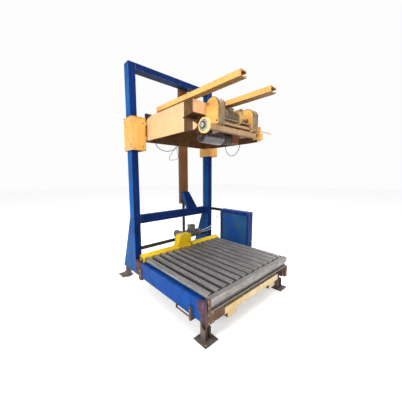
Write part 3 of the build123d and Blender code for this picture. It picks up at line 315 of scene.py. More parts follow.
def painted(name, base, faded, rust=(0.13, 0.045, 0.02), bare=(0.30, 0.27, 0.25), front=None, under_shade=None,
            rust_amount=0.30, chips=0.5, grime=(0.10, 0.06, 0.03), grime_amount=0.35, gloss=0.35,
            patches=None, streaks=0.3, edge_radius=0.012, shine=0.30, coat=0.06):
    """Worn paint: fading, dirty runs, chipped edges, rust patches, and painted shade on faces below or in
    front.

    The front and under colours are painted shade, for faces that look to -Y or down. patches is (axis,
    places along it in metres, reach) for areas where most of the paint is gone.
    """
    p = Paint(name)
    fade = p.span(p.noise(2.3, 4.0, 0.55), 0.35, 0.68)
    fine = p.span(p.noise(46.0, 6.0, 0.7), 0.3, 0.75)
    color = p.mix(fade, base, faded)
    color = p.mix(p.math("MULTIPLY", fine, 0.35), color, tuple(0.62 * c for c in base))
    # Faces that look to -Y take the front colour: painted shade.
    if front is not None:
        front_shade_mask = p.span(p.axis(p.normal, 1), -0.45, -0.85)
        front_shade_light = tuple(1.5 * c for c in front)
        color = p.mix(p.math("MULTIPLY", front_shade_mask, 0.92), color, p.mix(fade, front, front_shade_light))
    # Faces that look down take the under colour: painted shade.
    if under_shade is not None:
        under_shade_mask = p.span(p.axis(p.normal, 2), -0.4, -0.85)
        deeper_shade = tuple(0.55 * c for c in under_shade)
        color = p.mix(p.math("MULTIPLY", under_shade_mask, 0.92), color, p.mix(fine, under_shade, deeper_shade))
    runs = p.noise(5.0, 5.0, 0.6, stretch=(6.0, 6.0, 0.45))
    dirt = p.math("MULTIPLY", p.span(runs, 0.50, 0.72), streaks)
    color = p.mix(dirt, color, grime)
    smudge = p.math("MULTIPLY", p.span(p.noise(7.0, 8.0, 0.72, distort=0.6), 0.52, 0.74), grime_amount)
    color = p.mix(smudge, color, grime)
    edge = p.edges(edge_radius, 0.80, 0.992)
    crumble = p.math("MULTIPLY", p.noise(38.0, 8.0, 0.75), 0.75)
    chip_start = 0.92 - 0.30 * chips
    ragged = p.math("ADD", p.math("MULTIPLY", edge, 0.62), crumble)
    rough_edge = p.span(ragged, chip_start, chip_start + 0.05)
    spot_start = 0.72 - 0.16 * rust_amount
    spots = p.span(p.noise(13.0, 9.0, 0.78, distort=0.8), spot_start, spot_start + 0.04)
    worn = p.math("MAXIMUM", rough_edge, spots)
    if patches is not None:
        axis, ends, reach = patches
        along = p.axis(p.where, axis)
        for end in ends:
            near = p.math("MAXIMUM", p.span(along, end - reach, end), 0.0)
            near = p.math("MINIMUM", near, p.span(along, end + reach, end))
            near = p.math("MULTIPLY", near, 0.55)
            torn = p.math("ADD", near, p.math("MULTIPLY", p.noise(8.5, 9.0, 0.72, distort=1.2), 0.7))
            worn = p.math("MAXIMUM", worn, p.span(torn, 0.66, 0.70))
    metal = p.mix(p.span(p.noise(21.0, 6.0, 0.7), 0.42, 0.62), rust, bare)
    color = p.mix(worn, color, metal)
    rough = p.math("ADD", p.span(fine, 0.0, 1.0, gloss, gloss + 0.16), p.math("MULTIPLY", worn, 0.32))
    grain = p.math("MULTIPLY", p.noise(90.0, 4.0, 0.6), 0.25)
    p.bump(p.math("SUBTRACT", grain, p.math("MULTIPLY", worn, 0.5)), 0.5, 0.0012)
    p.shader.inputs["Specular IOR Level"].default_value = shine
    return p.finish(color, rough, coat=coat)


def steel(name, base, dark, rust=(0.20, 0.09, 0.04), rust_amount=0.45, rough=0.38, metallic=0.75, along=1,
          scratch=90.0):
    """Worn bare steel with long scratches along one axis, dull stains and a little rust."""
    p = Paint(name)
    stretch = [1.0, 1.0, 1.0]
    stretch[along] = 0.05
    lines = p.span(p.noise(scratch, 5.0, 0.7, stretch=tuple(stretch)), 0.32, 0.70)
    stain_and_shade_mottle = p.span(p.noise(4.0, 8.0, 0.7, distort=0.5), 0.36, 0.66)
    color = p.mix(lines, dark, base)
    color = p.mix(p.math("MULTIPLY", stain_and_shade_mottle, 0.55), color, dark)
    streak = [3.0, 3.0, 3.0]
    streak[along] = 0.5
    blotch = p.noise(6.0, 9.0, 0.75, stretch=tuple(streak), distort=0.7)
    brown = p.span(blotch, 0.62 - 0.12 * rust_amount, 0.72)
    color = p.mix(p.math("MULTIPLY", brown, 0.8), color, rust)
    p.bump(p.math("ADD", p.math("MULTIPLY", lines, 0.3), p.math("MULTIPLY", brown, 0.4)), 0.35, 0.0008)
    dull = p.math("ADD", p.span(stain_and_shade_mottle, 0.0, 1.0, rough, rough + 0.2), p.math("MULTIPLY", brown, 0.2))
    return p.finish(color, dull, p.span(brown, 0.0, 1.0, metallic, 0.1))


def plain(name, base, other, rough=0.5, metallic=0.0, scale=30.0, dust=(0.30, 0.27, 0.23), dust_amount=0.3,
          bump=0.3):
    """A moulded or cast surface with dust that gathers on top and in patches."""
    p = Paint(name)
    color = p.mix(p.span(p.noise(scale, 5.0, 0.65), 0.35, 0.65), base, other)
    top = p.span(p.axis(p.normal, 2), 0.1, 0.9)
    grey = p.math("MULTIPLY", p.span(p.noise(11.0, 6.0, 0.65), 0.40, 0.70), dust_amount)
    color = p.mix(p.math("ADD", grey, p.math("MULTIPLY", top, dust_amount * 0.5)), color, dust)
    p.bump(p.noise(scale * 6.0, 4.0, 0.6), bump, 0.0006)
    return p.finish(color, p.span(grey, 0.0, 1.0, rough, min(1.0, rough + 0.35)), metallic)


# ---- Looks of the CAD slots ----

# Painted shade colours: a navy for blue faces that look to -Y, and a near-black blue and a brown for faces
# that look down.
FRONT_SHADE_NAVY = (0.004, 0.018, 0.105)
UNDER_SHADE_BLUE = (0.006, 0.02, 0.08)
UNDER_SHADE_BROWN = (0.12, 0.052, 0.018)

blue = painted("blue_paint_worn", (0.004, 0.092, 0.32), (0.010, 0.145, 0.43), front=FRONT_SHADE_NAVY,
               under_shade=UNDER_SHADE_BLUE, rust=(0.075, 0.030, 0.035), rust_amount=0.15, chips=0.35,
               grime=(0.004, 0.013, 0.05), grime_amount=0.8, streaks=0.6, gloss=0.36, shine=0.10, coat=0.0)
blue_beam = painted("blue_beam_worn", (0.003, 0.070, 0.32), (0.006, 0.105, 0.42), front=FRONT_SHADE_NAVY,
                    under_shade=UNDER_SHADE_BLUE, rust=(0.10, 0.045, 0.05), bare=(0.14, 0.10, 0.14),
                    rust_amount=0.16, chips=0.45, grime=(0.004, 0.012, 0.06), grime_amount=0.95,
                    streaks=0.6, gloss=0.36, patches=(1, (-1.04, 0.40), 0.30), shine=0.10, coat=0.0)
cabinet_blue = painted("cabinet_paint_worn", (0.006, 0.040, 0.20), (0.010, 0.075, 0.30),
                       rust=(0.05, 0.03, 0.03), rust_amount=0.3, chips=0.5, grime=(0.005, 0.007, 0.02),
                       grime_amount=0.7, streaks=0.5, shine=0.12, coat=0.0)
cabinet_panel = painted("cabinet_panel_worn", (0.008, 0.085, 0.42), (0.045, 0.17, 0.30),
                        rust=(0.16, 0.10, 0.05), bare=(0.10, 0.17, 0.15), rust_amount=0.85, chips=0.6,
                        grime=(0.06, 0.10, 0.10), grime_amount=0.75, streaks=0.35, shine=0.15, coat=0.0)
yellow = painted("yellow_paint_worn", (0.80, 0.43, 0.11), (0.86, 0.52, 0.18), under_shade=UNDER_SHADE_BROWN,
                 rust=(0.22, 0.09, 0.03), rust_amount=0.12, chips=0.35, grime=(0.36, 0.20, 0.08),
                 streaks=0.35, gloss=0.42)
peach = painted("peach_paint_worn", (0.82, 0.51, 0.27), (0.86, 0.58, 0.35), under_shade=UNDER_SHADE_BROWN,
                rust=(0.26, 0.11, 0.04), rust_amount=0.10, chips=0.22, grime=(0.46, 0.27, 0.13),
                streaks=0.30, gloss=0.45)
guard_yellow = painted("guard_paint_worn", (0.96, 0.66, 0.010), (1.0, 0.74, 0.03), rust=(0.20, 0.10, 0.03),
                       rust_amount=0.05, chips=0.25, grime=(0.45, 0.30, 0.05), streaks=0.15, gloss=0.32)
pale_yellow = painted("pale_yellow_paint_worn", (0.72, 0.52, 0.24), (0.74, 0.64, 0.44),
                      under_shade=(0.25, 0.14, 0.06), rust=(0.20, 0.09, 0.04), rust_amount=0.45, chips=0.6,
                      grime=(0.34, 0.22, 0.11))
# Painted shade: this dark brown stands for yellow paint in shade on the cable column; its peeling edges are
# wear.
brown = painted("column_paint_shaded_peeling", (0.17, 0.068, 0.024), (0.24, 0.105, 0.042),
                under_shade=(0.07, 0.03, 0.012), rust=(0.10, 0.035, 0.015), bare=(0.42, 0.26, 0.16),
                rust_amount=0.6, chips=0.9, gloss=0.6, edge_radius=0.02)
black_paint = painted("black_paint_worn", (0.012, 0.012, 0.016), (0.03, 0.03, 0.035), rust_amount=0.3,
                      chips=0.5, grime=(0.05, 0.04, 0.03))
grey_paint = painted("grey_paint_worn", (0.13, 0.11, 0.10), (0.24, 0.21, 0.19), rust_amount=0.9,
                     chips=0.9, grime=(0.12, 0.08, 0.05), gloss=0.5)
motor_grey = painted("motor_paint_worn", (0.15, 0.16, 0.17), (0.24, 0.25, 0.26), rust_amount=0.25,
                     chips=0.4, grime=(0.04, 0.035, 0.03), gloss=0.42)
bronze = painted("bronze_paint_worn", (0.19, 0.15, 0.09), (0.28, 0.23, 0.15), rust_amount=0.3,
                 chips=0.5, grime=(0.09, 0.06, 0.04), gloss=0.42)
front_bar_paint = painted("front_bar_worn", (0.42, 0.26, 0.13), (0.56, 0.40, 0.25), under_shade=UNDER_SHADE_BROWN,
                          rust=(0.16, 0.07, 0.03), rust_amount=0.7, chips=0.9,
                          grime=(0.16, 0.09, 0.04), gloss=0.5)
roller_steel = steel("roller_steel", (0.52, 0.51, 0.51), (0.21, 0.20, 0.20), rust_amount=0.12, rough=0.34)
rail_steel = steel("rail_steel", (0.46, 0.45, 0.44), (0.22, 0.20, 0.19), rust_amount=0.6, rough=0.42,
                   along=0)
dark_steel = steel("oiled_steel", (0.16, 0.15, 0.14), (0.04, 0.035, 0.03), rust_amount=0.5, rough=0.45,
                   metallic=0.6, along=0)
rusty_steel = steel("rusty_steel", (0.22, 0.17, 0.13), (0.11, 0.06, 0.035), rust=(0.23, 0.09, 0.035),
                    rust_amount=1.6, rough=0.6, metallic=0.4, along=2)
cast = plain("cast_iron_dark", (0.035, 0.035, 0.038), (0.07, 0.065, 0.06), rough=0.55, metallic=0.3,
             scale=60.0)
black_plastic = plain("black_plastic", (0.010, 0.010, 0.011), (0.022, 0.021, 0.020), rough=0.45,
                      dust_amount=0.18)
wheel_plastic = plain("wheel_plastic", (0.05, 0.045, 0.035), (0.09, 0.08, 0.06), rough=0.5)
cable_black = plain("cable_black", (0.008, 0.008, 0.009), (0.018, 0.017, 0.016), rough=0.5, scale=200.0,
                    dust_amount=0.15)
cable_pale = plain("cable_pale", (0.66, 0.67, 0.68), (0.78, 0.78, 0.78), rough=0.5, scale=160.0,
                   dust=(0.2, 0.16, 0.12))


def film():
    """Dark wound stretch film: fine turns along the reel, and long streaks along its axis that vary the
    gloss and carry a painted highlight.
    """
    p = Paint("film_dark")
    turns = p.noise(160.0, 3.0, 0.5, stretch=(1.0, 0.08, 0.08))
    gloss_and_sheen_streaks = p.span(p.noise(16.0, 6.0, 0.6, stretch=(0.12, 1.6, 1.6)), 0.38, 0.64)
    # The lighter grey along the long streaks is a painted highlight.
    color = p.mix(gloss_and_sheen_streaks, (0.025, 0.024, 0.026), (0.17, 0.16, 0.165))
    color = p.mix(p.math("MULTIPLY", p.span(turns, 0.45, 0.62), 0.25), color, (0.15, 0.14, 0.14))
    p.bump(turns, 0.5, 0.0015)
    return p.finish(color, p.span(gloss_and_sheen_streaks, 0.0, 1.0, 0.16, 0.38), coat=0.4)


def inside_out(name, outer, box_low, box_high, dark, deeper_shade):
    """A copy of a painted look that turns to painted shade, a mottled dark brown, strictly inside a box."""
    p = Paint(name, source=outer)
    paint = p.shader.inputs["Base Color"].links[0].from_socket
    inside = 1.0
    for index, (low, high) in enumerate(zip(box_low, box_high)):
        along = p.axis(p.where, index)
        between = p.math("MULTIPLY", p.math("GREATER_THAN", along, low), p.math("LESS_THAN", along, high))
        inside = p.math("MULTIPLY", between, inside)
    stain_and_shade_mottle = p.span(p.noise(5.0, 7.0, 0.7, distort=0.6), 0.36, 0.64)
    p.put(p.shader.inputs["Base Color"], p.mix(inside, paint, p.mix(stain_and_shade_mottle, dark, deeper_shade)))
    return p.material


def guard_band():
    """The drum guards: yellow sides, and a worn grey skin where the sheet curves."""
    p = Paint("drum_guard_paint")
    side = p.span(p.math("ABSOLUTE", p.axis(p.normal, 0)), 0.5, 0.9)
    fade = p.span(p.noise(5.0, 6.0, 0.6), 0.35, 0.65)
    face = p.mix(fade, (0.84, 0.48, 0.12), (0.88, 0.57, 0.20))
    wear = p.span(p.noise(9.0, 8.0, 0.7, stretch=(3.0, 0.7, 0.7)), 0.38, 0.62)
    skin = p.mix(wear, (0.15, 0.13, 0.12), (0.45, 0.34, 0.18))
    edge = p.edges(0.014, 0.80, 0.99)
    color = p.mix(side, skin, face)
    crumble = p.math("MULTIPLY", p.noise(40.0, 8.0, 0.75), 0.7)
    chip = p.span(p.math("ADD", p.math("MULTIPLY", edge, 0.6), crumble), 0.78, 0.84)
    color = p.mix(chip, color, (0.16, 0.09, 0.05))
    p.bump(p.math("SUBTRACT", p.math("MULTIPLY", p.noise(60.0, 5.0, 0.6), 0.3), chip), 0.5, 0.0012)
    return p.finish(color, p.span(side, 0.0, 1.0, 0.42, 0.38), p.span(side, 0.0, 1.0, 0.35, 0.0), coat=0.1)


# Just inside the outer faces of the head housing, in metres, and open below.
SKIN = 3.5
HEAD_INSIDE_LOW = ((HEAD_LEFT + SKIN) / 1000, (HEAD_FRONT + SKIN) / 1000, 2.0)
HEAD_INSIDE_HIGH = ((HEAD_RIGHT - SKIN) / 1000, (HEAD_BACK - SKIN) / 1000, (HEAD_TOP - SKIN) / 1000)

film_dark = film()
# Inside the head housing the peach paint turns to a mottled dark brown: painted shade.
head_look = inside_out("head_paint_worn", peach, HEAD_INSIDE_LOW, HEAD_INSIDE_HIGH,
                       (0.17, 0.085, 0.032), (0.075, 0.034, 0.014))
guard_skin = guard_band()

LOOKS = {
    "blue_paint": blue,
    "cabinet_paint": cabinet_blue,
    "pale_yellow_paint": pale_yellow,
    "yellow_paint": yellow,
    "peach_paint": peach,
    "guard_yellow_paint": guard_yellow,
    "brown_paint": brown,
    "bronze_paint": bronze,
    "black_paint": black_paint,
    "grey_paint": grey_paint,
    "motor_paint": motor_grey,
    "rusty_steel": rusty_steel,
    "worn_steel": rail_steel,
    "chain_steel": dark_steel,
    "bearing_iron": cast,
    "black_plastic": black_plastic,
    "wheel_plastic": wheel_plastic,
    "film_plastic": film_dark,
    "cable_rubber": cable_black,
    "cable_grey": cable_pale,
}
SPECIAL = {
    "base_beams": blue_beam,
    "drum_guards": guard_skin,
    "front_bar": front_bar_paint,
    "head_housing": head_look,
}
for number in range(1, ROLLER_COUNT + 1):
    SPECIAL[f"roller_{number:02d}"] = roller_steel
for part in frame["record"]["subparts"]:
    node = nodes[part["node"]]
    look = SPECIAL.get(part["node"], LOOKS[part["material_slot"]])
    node.data.materials.clear()
    node.data.materials.append(look)
for name, _body, slot, *_rest in CABLES:
    cable_pieces[name].data.materials.append(LOOKS[slot])

# ---- Looks of the detail pieces ----

zinc = steel("zinc_fastener", (0.52, 0.50, 0.46), (0.24, 0.22, 0.20), rust_amount=0.8, rough=0.40, along=2)
fastener_dark = steel("dark_fastener", (0.13, 0.12, 0.11), (0.04, 0.035, 0.03), rust_amount=0.9, rough=0.5,
                      metallic=0.6)
# The near-black look of the sheet that paints shade under the rollers.
shade_sheet_look = plain("shade_sheet_dark", (0.012, 0.010, 0.009), (0.035, 0.024, 0.018), rough=0.7,
                   dust_amount=0.12, scale=12.0)
pale_metal = plain("pale_hub_metal", (0.42, 0.41, 0.40), (0.62, 0.61, 0.59), rough=0.42, metallic=0.3)
hub_yellow = painted("hub_yellow_worn", (0.84, 0.56, 0.22), (0.90, 0.70, 0.38), rust=(0.20, 0.09, 0.03),
                     rust_amount=0.3, chips=0.5, grime=(0.36, 0.20, 0.08), gloss=0.4)
weld_blue = painted("weld_blue", (0.003, 0.06, 0.27), (0.006, 0.09, 0.34), rust_amount=0.3, chips=0.4,
                    grime=(0.02, 0.03, 0.07))


# ---- Helper for detail pieces, in millimetres ----

UP = (0, 0, 1)
LEFT = (-1, 0, 0)
RIGHT = (1, 0, 0)
FORWARD = (0, -1, 0)
BACKWARD = (0, 1, 0)
SIDES = (-1, 1)

# Screw heads as (height above the sheet, radius) pairs.
PANEL_SCREW = ((0, 6), (1.6, 5.6), (3.2, 3.4))
GUARD_SCREW = ((0, 5.5), (1.6, 5.2), (3.0, 3.2))
PLATE_SCREW = ((0, 5), (1.4, 4.6), (2.4, 2.6))
LID_SCREW = ((0, 4), (1.2, 3.6), (2.0, 2.2))

WASHER_DEPTH = 2.0
CHAIN_ROLLER_RADIUS = 2.2
LINK_PLATE_RADIUS = 2.8
LINK_PLATE_THICKNESS = 0.9


class Detail:
    """Collects small solids into one mesh piece that rides on a body."""

    def __init__(self, name, body, slot, look):
        self.name = name
        self.body = body
        self.slot = slot
        self.look = look
        self.solid = bmesh.new()

    def block(self, x_span, y_span, z_span, soft=1.0):
        """A box with softened edges."""
        spans = (x_span, y_span, z_span)
        centre = Vector(((low + high) / 2 for low, high in spans))
        size = Matrix.Diagonal((*(high - low for low, high in spans), 1.0))
        made = bmesh.ops.create_cube(self.solid, size=1.0, matrix=Matrix.Translation(centre) @ size)
        edges = list(dict.fromkeys(edge for corner in made["verts"] for edge in corner.link_edges))
        bmesh.ops.bevel(self.solid, geom=edges, offset=soft, segments=2, affect="EDGES", clamp_overlap=True)

    def slab(self, matrix, size):
        """A plain box of the given size, centred where the matrix puts it."""
        bmesh.ops.create_cube(self.solid, size=1.0, matrix=matrix @ Matrix.Diagonal((*size, 1)))

    def fins(self, centre, axis, radius, size, count, lowest=-1.0, highest=1.0):
        """Cooling fins round a motor, only where the cosine of the angle from the top is between limits."""
        for step in range(count):
            angle = math.tau * step / count
            if lowest <= math.cos(angle) <= highest:
                spoke = Matrix.Translation(centre) @ Matrix.Rotation(angle, 4, axis)
                self.slab(spoke @ Matrix.Translation((0, 0, radius)), size)

    def lathe(self, centre, axis, profile, sides=32, closed=False, turn=0.0):
        """Spins a profile of (distance along the axis, radius) pairs; a closed profile makes a ring."""
        basis = Vector(axis).to_track_quat("Z", "Y").to_matrix()
        rings = []
        for along, radius in profile:
            ring = []
            for step in range(sides):
                angle = math.tau * step / sides + turn
                offset = basis @ Vector((radius * math.cos(angle), radius * math.sin(angle), along))
                ring.append(self.solid.verts.new(Vector(centre) + offset))
            rings.append(ring)
        pairs = list(zip(rings, rings[1:]))
        if closed:
            pairs.append((rings[-1], rings[0]))
        for lower, upper in pairs:
            for step in range(sides):
                after = (step + 1) % sides
                self.solid.faces.new((lower[step], lower[after], upper[after], upper[step]))
        if not closed:
            self.solid.faces.new(rings[0][::-1])
            self.solid.faces.new(rings[-1])

    def disc(self, centre, axis, radius, depth, soft=1.0, sides=32):
        """A round plate or stub with a softened far rim."""
        self.lathe(centre, axis, ((0, radius), (depth - soft, radius), (depth, radius - soft)), sides)

    def ring(self, centre, axis, outer, inner, depth, soft=1.0, sides=40):
        """A hollow round ring with softened outer rims."""
        near = ((0, inner), (0, outer - soft), (soft, outer))
        far = ((depth - soft, outer), (depth, outer - soft), (depth, inner))
        self.lathe(centre, axis, near + far, sides, closed=True)

    def bolt(self, centre, axis, radius):
        """A washer and a hexagon head with a chamfered top, turned at random."""
        washer = ((0, 1.55 * radius), (1.6, 1.55 * radius), (WASHER_DEPTH, 1.45 * radius))
        self.lathe(centre, axis, washer, 20)
        start = Vector(centre) + WASHER_DEPTH * Vector(axis)
        head = ((0, radius), (0.62 * radius, radius), (0.78 * radius, 0.86 * radius))
        self.lathe(start, axis, head, 6, turn=random.uniform(0.0, 1.0))

    def bolt_circle(self, centre, reach, count, radius, turn=0.0):
        """Bolts that face left, on a circle round an axis along X."""
        x, y, z = centre
        for step in range(count):
            angle = math.tau * step / count + turn
            self.bolt((x, y + reach * math.cos(angle), z + reach * math.sin(angle)), LEFT, radius)

    def weld(self, start, end, radius=3.2):
        """A rippled bead along a straight seam."""
        start = Vector(start)
        run = Vector(end) - start
        count = max(4, int(run.length / 5.0))
        profile = []
        for step in range(count + 1):
            ripple = 1.0 if step % 2 else 0.74
            profile.append((run.length * step / count, radius * ripple * random.uniform(0.92, 1.08)))
        self.lathe(start, run.normalized(), profile, 8)

    def chain(self, centre, along, across, span, radius, width, pitch):
        """Chain links round two wheels: paired side plates and rollers between them."""
        centre = Vector(centre)
        along = Vector(along)
        across = Vector(across)
        side = along.cross(across)
        length = 2 * span + math.tau * radius
        count = 2 * round(length / pitch / 2)

        def on_loop(distance):
            distance %= length
            if distance < span:
                return along * (distance - span / 2) + across * radius
            distance -= span
            if distance < math.pi * radius:
                angle = distance / radius
                return along * (span / 2 + radius * math.sin(angle)) + across * radius * math.cos(angle)
            distance -= math.pi * radius
            if distance < span:
                return along * (span / 2 - distance) - across * radius
            angle = (distance - span) / radius
            return along * (-span / 2 - radius * math.sin(angle)) - across * radius * math.cos(angle)

        for link in range(count):
            head = centre + on_loop(length * link / count)
            tail = centre + on_loop(length * (link + 1) / count)
            reach = (tail - head).normalized()
            inward = 0.5 * width - (1.0 if link % 2 else 2.0)
            self.link_roller(head, side, width)
            for sign in SIDES:
                offset = side * sign * inward
                self.link_plate(head + offset, tail + offset, reach, side)

    def link_roller(self, centre, side, width):
        """The pin and roller between two side plates of a chain."""
        half = width / 2 - 1.2
        length = width - 2.4
        self.lathe(centre - side * half, side, ((0, CHAIN_ROLLER_RADIUS), (length, CHAIN_ROLLER_RADIUS)), 8)

    def link_plate(self, head, tail, reach, side):
        """One side plate of a chain link: a thin flat with a half-round at each end."""
        rise = side.cross(reach)
        outline = []
        for end, first_angle in ((head, 90), (tail, -90)):
            for step in range(5):
                angle = math.radians(first_angle + 45 * step)
                outline.append(end + reach * LINK_PLATE_RADIUS * math.cos(angle)
                               + rise * LINK_PLATE_RADIUS * math.sin(angle))
        half = side * (LINK_PLATE_THICKNESS / 2)
        lower = [self.solid.verts.new(point - half) for point in outline]
        upper = [self.solid.verts.new(point + half) for point in outline]
        self.solid.faces.new(lower[::-1])
        self.solid.faces.new(upper)
        for step, corner in enumerate(lower):
            after = (step + 1) % len(lower)
            self.solid.faces.new((corner, lower[after], upper[after], upper[step]))

    def place(self, replaces=None):
        """Turns the collected solids into one piece, in metres, on its body, and hides the part it
        replaces.
        """
        bmesh.ops.recalc_face_normals(self.solid, faces=self.solid.faces)
        mesh = bpy.data.meshes.new(self.name)
        self.solid.to_mesh(mesh)
        self.solid.free()
        mesh.transform(Matrix.Scale(0.001, 4))
        mesh.materials.append(self.look)
        for face in mesh.polygons:
            face.use_smooth = True
        mesh.set_sharp_from_angle(angle=math.radians(38))
        piece = bpy.data.objects.new(self.name, mesh)
        bpy.context.scene.collection.objects.link(piece)
        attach(piece, self.body)
        if replaces:
            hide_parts(replaces)


# ---- Detail pieces on the frame ----

def lift_chain_links():
    """The two lifting chains, from the drive shaft up to the idlers."""
    links = Detail("lift_chain_links", "frame", "chain_steel", dark_steel)
    middle_z = (LIFT_SHAFT_Z + TOP_SHAFT_Z) / 2
    for side in SIDES:
        links.chain((side * LIFT_CHAIN_X, LIFT_AXIS_Y, middle_z), UP, BACKWARD, TOP_SHAFT_Z - LIFT_SHAFT_Z,
                    radius=31.8, width=6.0, pitch=15.875)
    links.place("lift_chains")


def roller_chain_links():
    """The long chain over every roller's sprocket, and the short one down from the gear motor."""
    links = Detail("roller_chain_links", "frame", "chain_steel", dark_steel)
    links.chain((0, 325.5, ROLLER_AXIS_Z), RIGHT, UP, (ROLLER_COUNT - 1) * ROLLER_PITCH,
                ROLLER_CHAIN_RADIUS, width=6.0, pitch=ROLLER_CHAIN_PITCH)
    middle_z = (ROLLER_AXIS_Z + DRIVE_SPROCKET_Z) / 2
    links.chain((0, 334, middle_z), UP, RIGHT, DRIVE_SPROCKET_Z - ROLLER_AXIS_Z,
                ROLLER_CHAIN_RADIUS, width=5.0, pitch=ROLLER_CHAIN_PITCH)
    links.place("roller_chain")


def bearing_bolts(bolts):
    """Two bolts above and below each lift bearing."""
    for side in SIDES:
        for bearing_z in (LIFT_SHAFT_Z, TOP_SHAFT_Z):
            for offset in (-38, 38):
                bolts.bolt((side * (POST_INNER - 6), LIFT_AXIS_Y, bearing_z + offset), (-side, 0, 0), 5)


def rail_bolts(bolts):
    """Bolts on the ends of the cross beams, the beam brackets and the front rail."""
    for bolt_z in (240, 300):
        for bolt_y in (296, 334):
            bolts.bolt((-812, bolt_y, bolt_z), LEFT, 8)
    for bolt_z in (180, 270):
        bolts.bolt((-824, -810, bolt_z), LEFT, 7)
    for bolt_z in (232, 320):
        for bolt_x in (-775, -725, 722):
            bolts.bolt((bolt_x, -1044, bolt_z), FORWARD, 7)
    for bolt_z in (330, 400, 462):
        bolts.bolt((-790, -1058, bolt_z), LEFT, 6)
    for bolt_x in ROLLER_GAP_XS:
        bolts.bolt((bolt_x, FRONT_RAIL_FACE, 455), FORWARD, 5)


def gearbox_bolts(bolts):
    """Four bolts on top of the conveyor gearbox and four on the front of the lift gearbox."""
    for bolt_x in (-38, 112):
        for bolt_y in (418, 484):
            bolts.bolt((bolt_x, bolt_y, GEARBOX_TOP), UP, 6)
    for bolt_x in (LIFT_MOTOR_X - 44, LIFT_MOTOR_X + 44):
        for bolt_z in (491, 596):
            bolts.bolt((bolt_x, LIFT_GEARBOX_FRONT, bolt_z), FORWARD, 6)


def frame_bolts():
    """Every bolt head that stays with the frame."""
    bolts = Detail("frame_bolts", "frame", "chain_steel", zinc)
    bearing_bolts(bolts)
    rail_bolts(bolts)
    gearbox_bolts(bolts)
    bolts.place()


def shade_sheet_under_rollers():
    """A dark sheet under the rollers, put there to paint shade into the gaps between them."""
    shade_sheet = Detail("shade_sheet_under_rollers", "frame", "rusty_steel", shade_sheet_look)
    shade_sheet.block((6 - POST_INNER, POST_INNER - 6), (-1010, 250), (398, 401), 0.6)
    shade_sheet.place()


def guard_screws():
    """Screws along the chain guard, one between each pair of rollers, and four on its bump."""
    screws = Detail("guard_screws", "frame", "chain_steel", zinc)
    for screw_x in ROLLER_GAP_XS:
        screws.lathe((screw_x, GUARD_FACE, 482), FORWARD, GUARD_SCREW, 16)
    for screw_x, screw_z in ((-70, 660), (84, 660), (-110, 560), (88, 560)):
        screws.lathe((screw_x, GUARD_BUMP_FACE, screw_z), FORWARD, GUARD_SCREW, 16)
    screws.place()


def frame_welds():
    """Seams where the beams and the base meet the two posts."""
    welds = Detail("frame_welds", "frame", "blue_paint", weld_blue)
    low, high = MID_BEAM_Z
    for side in SIDES:
        inner = side * POST_INNER
        welds.weld((inner, PORTAL_FRONT, TOP_BEAM_BOTTOM), (inner, PORTAL_BACK, TOP_BEAM_BOTTOM))
        welds.weld((inner, PORTAL_FRONT, TOP_BEAM_BOTTOM + 2), (inner, PORTAL_FRONT, PORTAL_TOP - 2))
        welds.weld((inner, PORTAL_FRONT, low), (inner, MID_BEAM_BACK, low))
        welds.weld((inner, PORTAL_FRONT, high), (inner, MID_BEAM_BACK, high))
        welds.weld((inner, MID_BEAM_BACK, low + 2), (inner, MID_BEAM_BACK, high - 2))
        for edge_x in (side * POST_INNER, side * POST_OUTER):
            welds.weld((edge_x, PORTAL_FRONT, 212), (edge_x, PORTAL_FRONT, BEAM_TOP - 4), 3.6)
            welds.weld((edge_x, PORTAL_BACK, 215), (edge_x, PORTAL_BACK, 1015))
        welds.weld((side * (POST_INNER + 2), PORTAL_FRONT, BEAM_TOP),
                   (side * (POST_OUTER - 2), PORTAL_FRONT, BEAM_TOP), 3.6)
        for seam_z in (207, 327):
            welds.weld((inner, 470, seam_z), (inner, 570, seam_z), 3.6)
    welds.place()


def foot_welds():
    """A bead across the inner end of each foot."""
    welds = Detail("foot_welds", "frame", "grey_paint", grey_paint)
    for foot_x in (-FOOT_X, FOOT_X):
        for seam_y in (-932, 848):
            welds.weld((foot_x - 42, seam_y, 11), (foot_x + 42, seam_y, 11))
    welds.place()


def conveyor_motor_details():
    """Fins, fan cowl, end shield, terminal box and glands of the conveyor motor."""
    motor = Detail("conveyor_motor_details", "frame", "motor_paint", motor_grey)
    motor.fins((272, CONVEYOR_MOTOR_Y, CONVEYOR_MOTOR_Z), "X", 59, (230, 2.4, 9), 28)
    cowl = ((0, 63), (50, 63), (58, 60), (62, 52), (62.8, 0.5))
    motor.lathe((396, CONVEYOR_MOTOR_Y, CONVEYOR_MOTOR_Z), RIGHT, cowl, 40)
    shield = ((0, 63), (14, 63), (16, 61), (22, 56))
    motor.lathe((130, CONVEYOR_MOTOR_Y, CONVEYOR_MOTOR_Z), RIGHT, shield, 40)
    motor.block((206, 324), (399, 501), (766, 776), 2.0)
    motor.disc((212, 438, 712), LEFT, 11, 16)
    motor.disc((212, 468, 712), LEFT, 9, 14)
    motor.ring((165, 444, 700), BACKWARD, 15, 8, 12)
    motor.place()


def lift_motor_details():
    """Fins, fan cowl, terminal box and gland of the lift motor."""
    motor = Detail("lift_motor_details", "frame", "motor_paint", motor_grey)
    motor.fins((LIFT_MOTOR_X, 722, LIFT_SHAFT_Z), "Y", 70, (2.6, 180, 10), 30, highest=0.72)
    motor.ring((LIFT_MOTOR_X, 822, LIFT_SHAFT_Z), BACKWARD, 70.5, 60, 50, 3.0)
    motor.block((296, 342), (660, 760), (500, 590), 3.0)
    motor.disc((319, 660, LIFT_SHAFT_Z), FORWARD, 10, 18)
    motor.place()


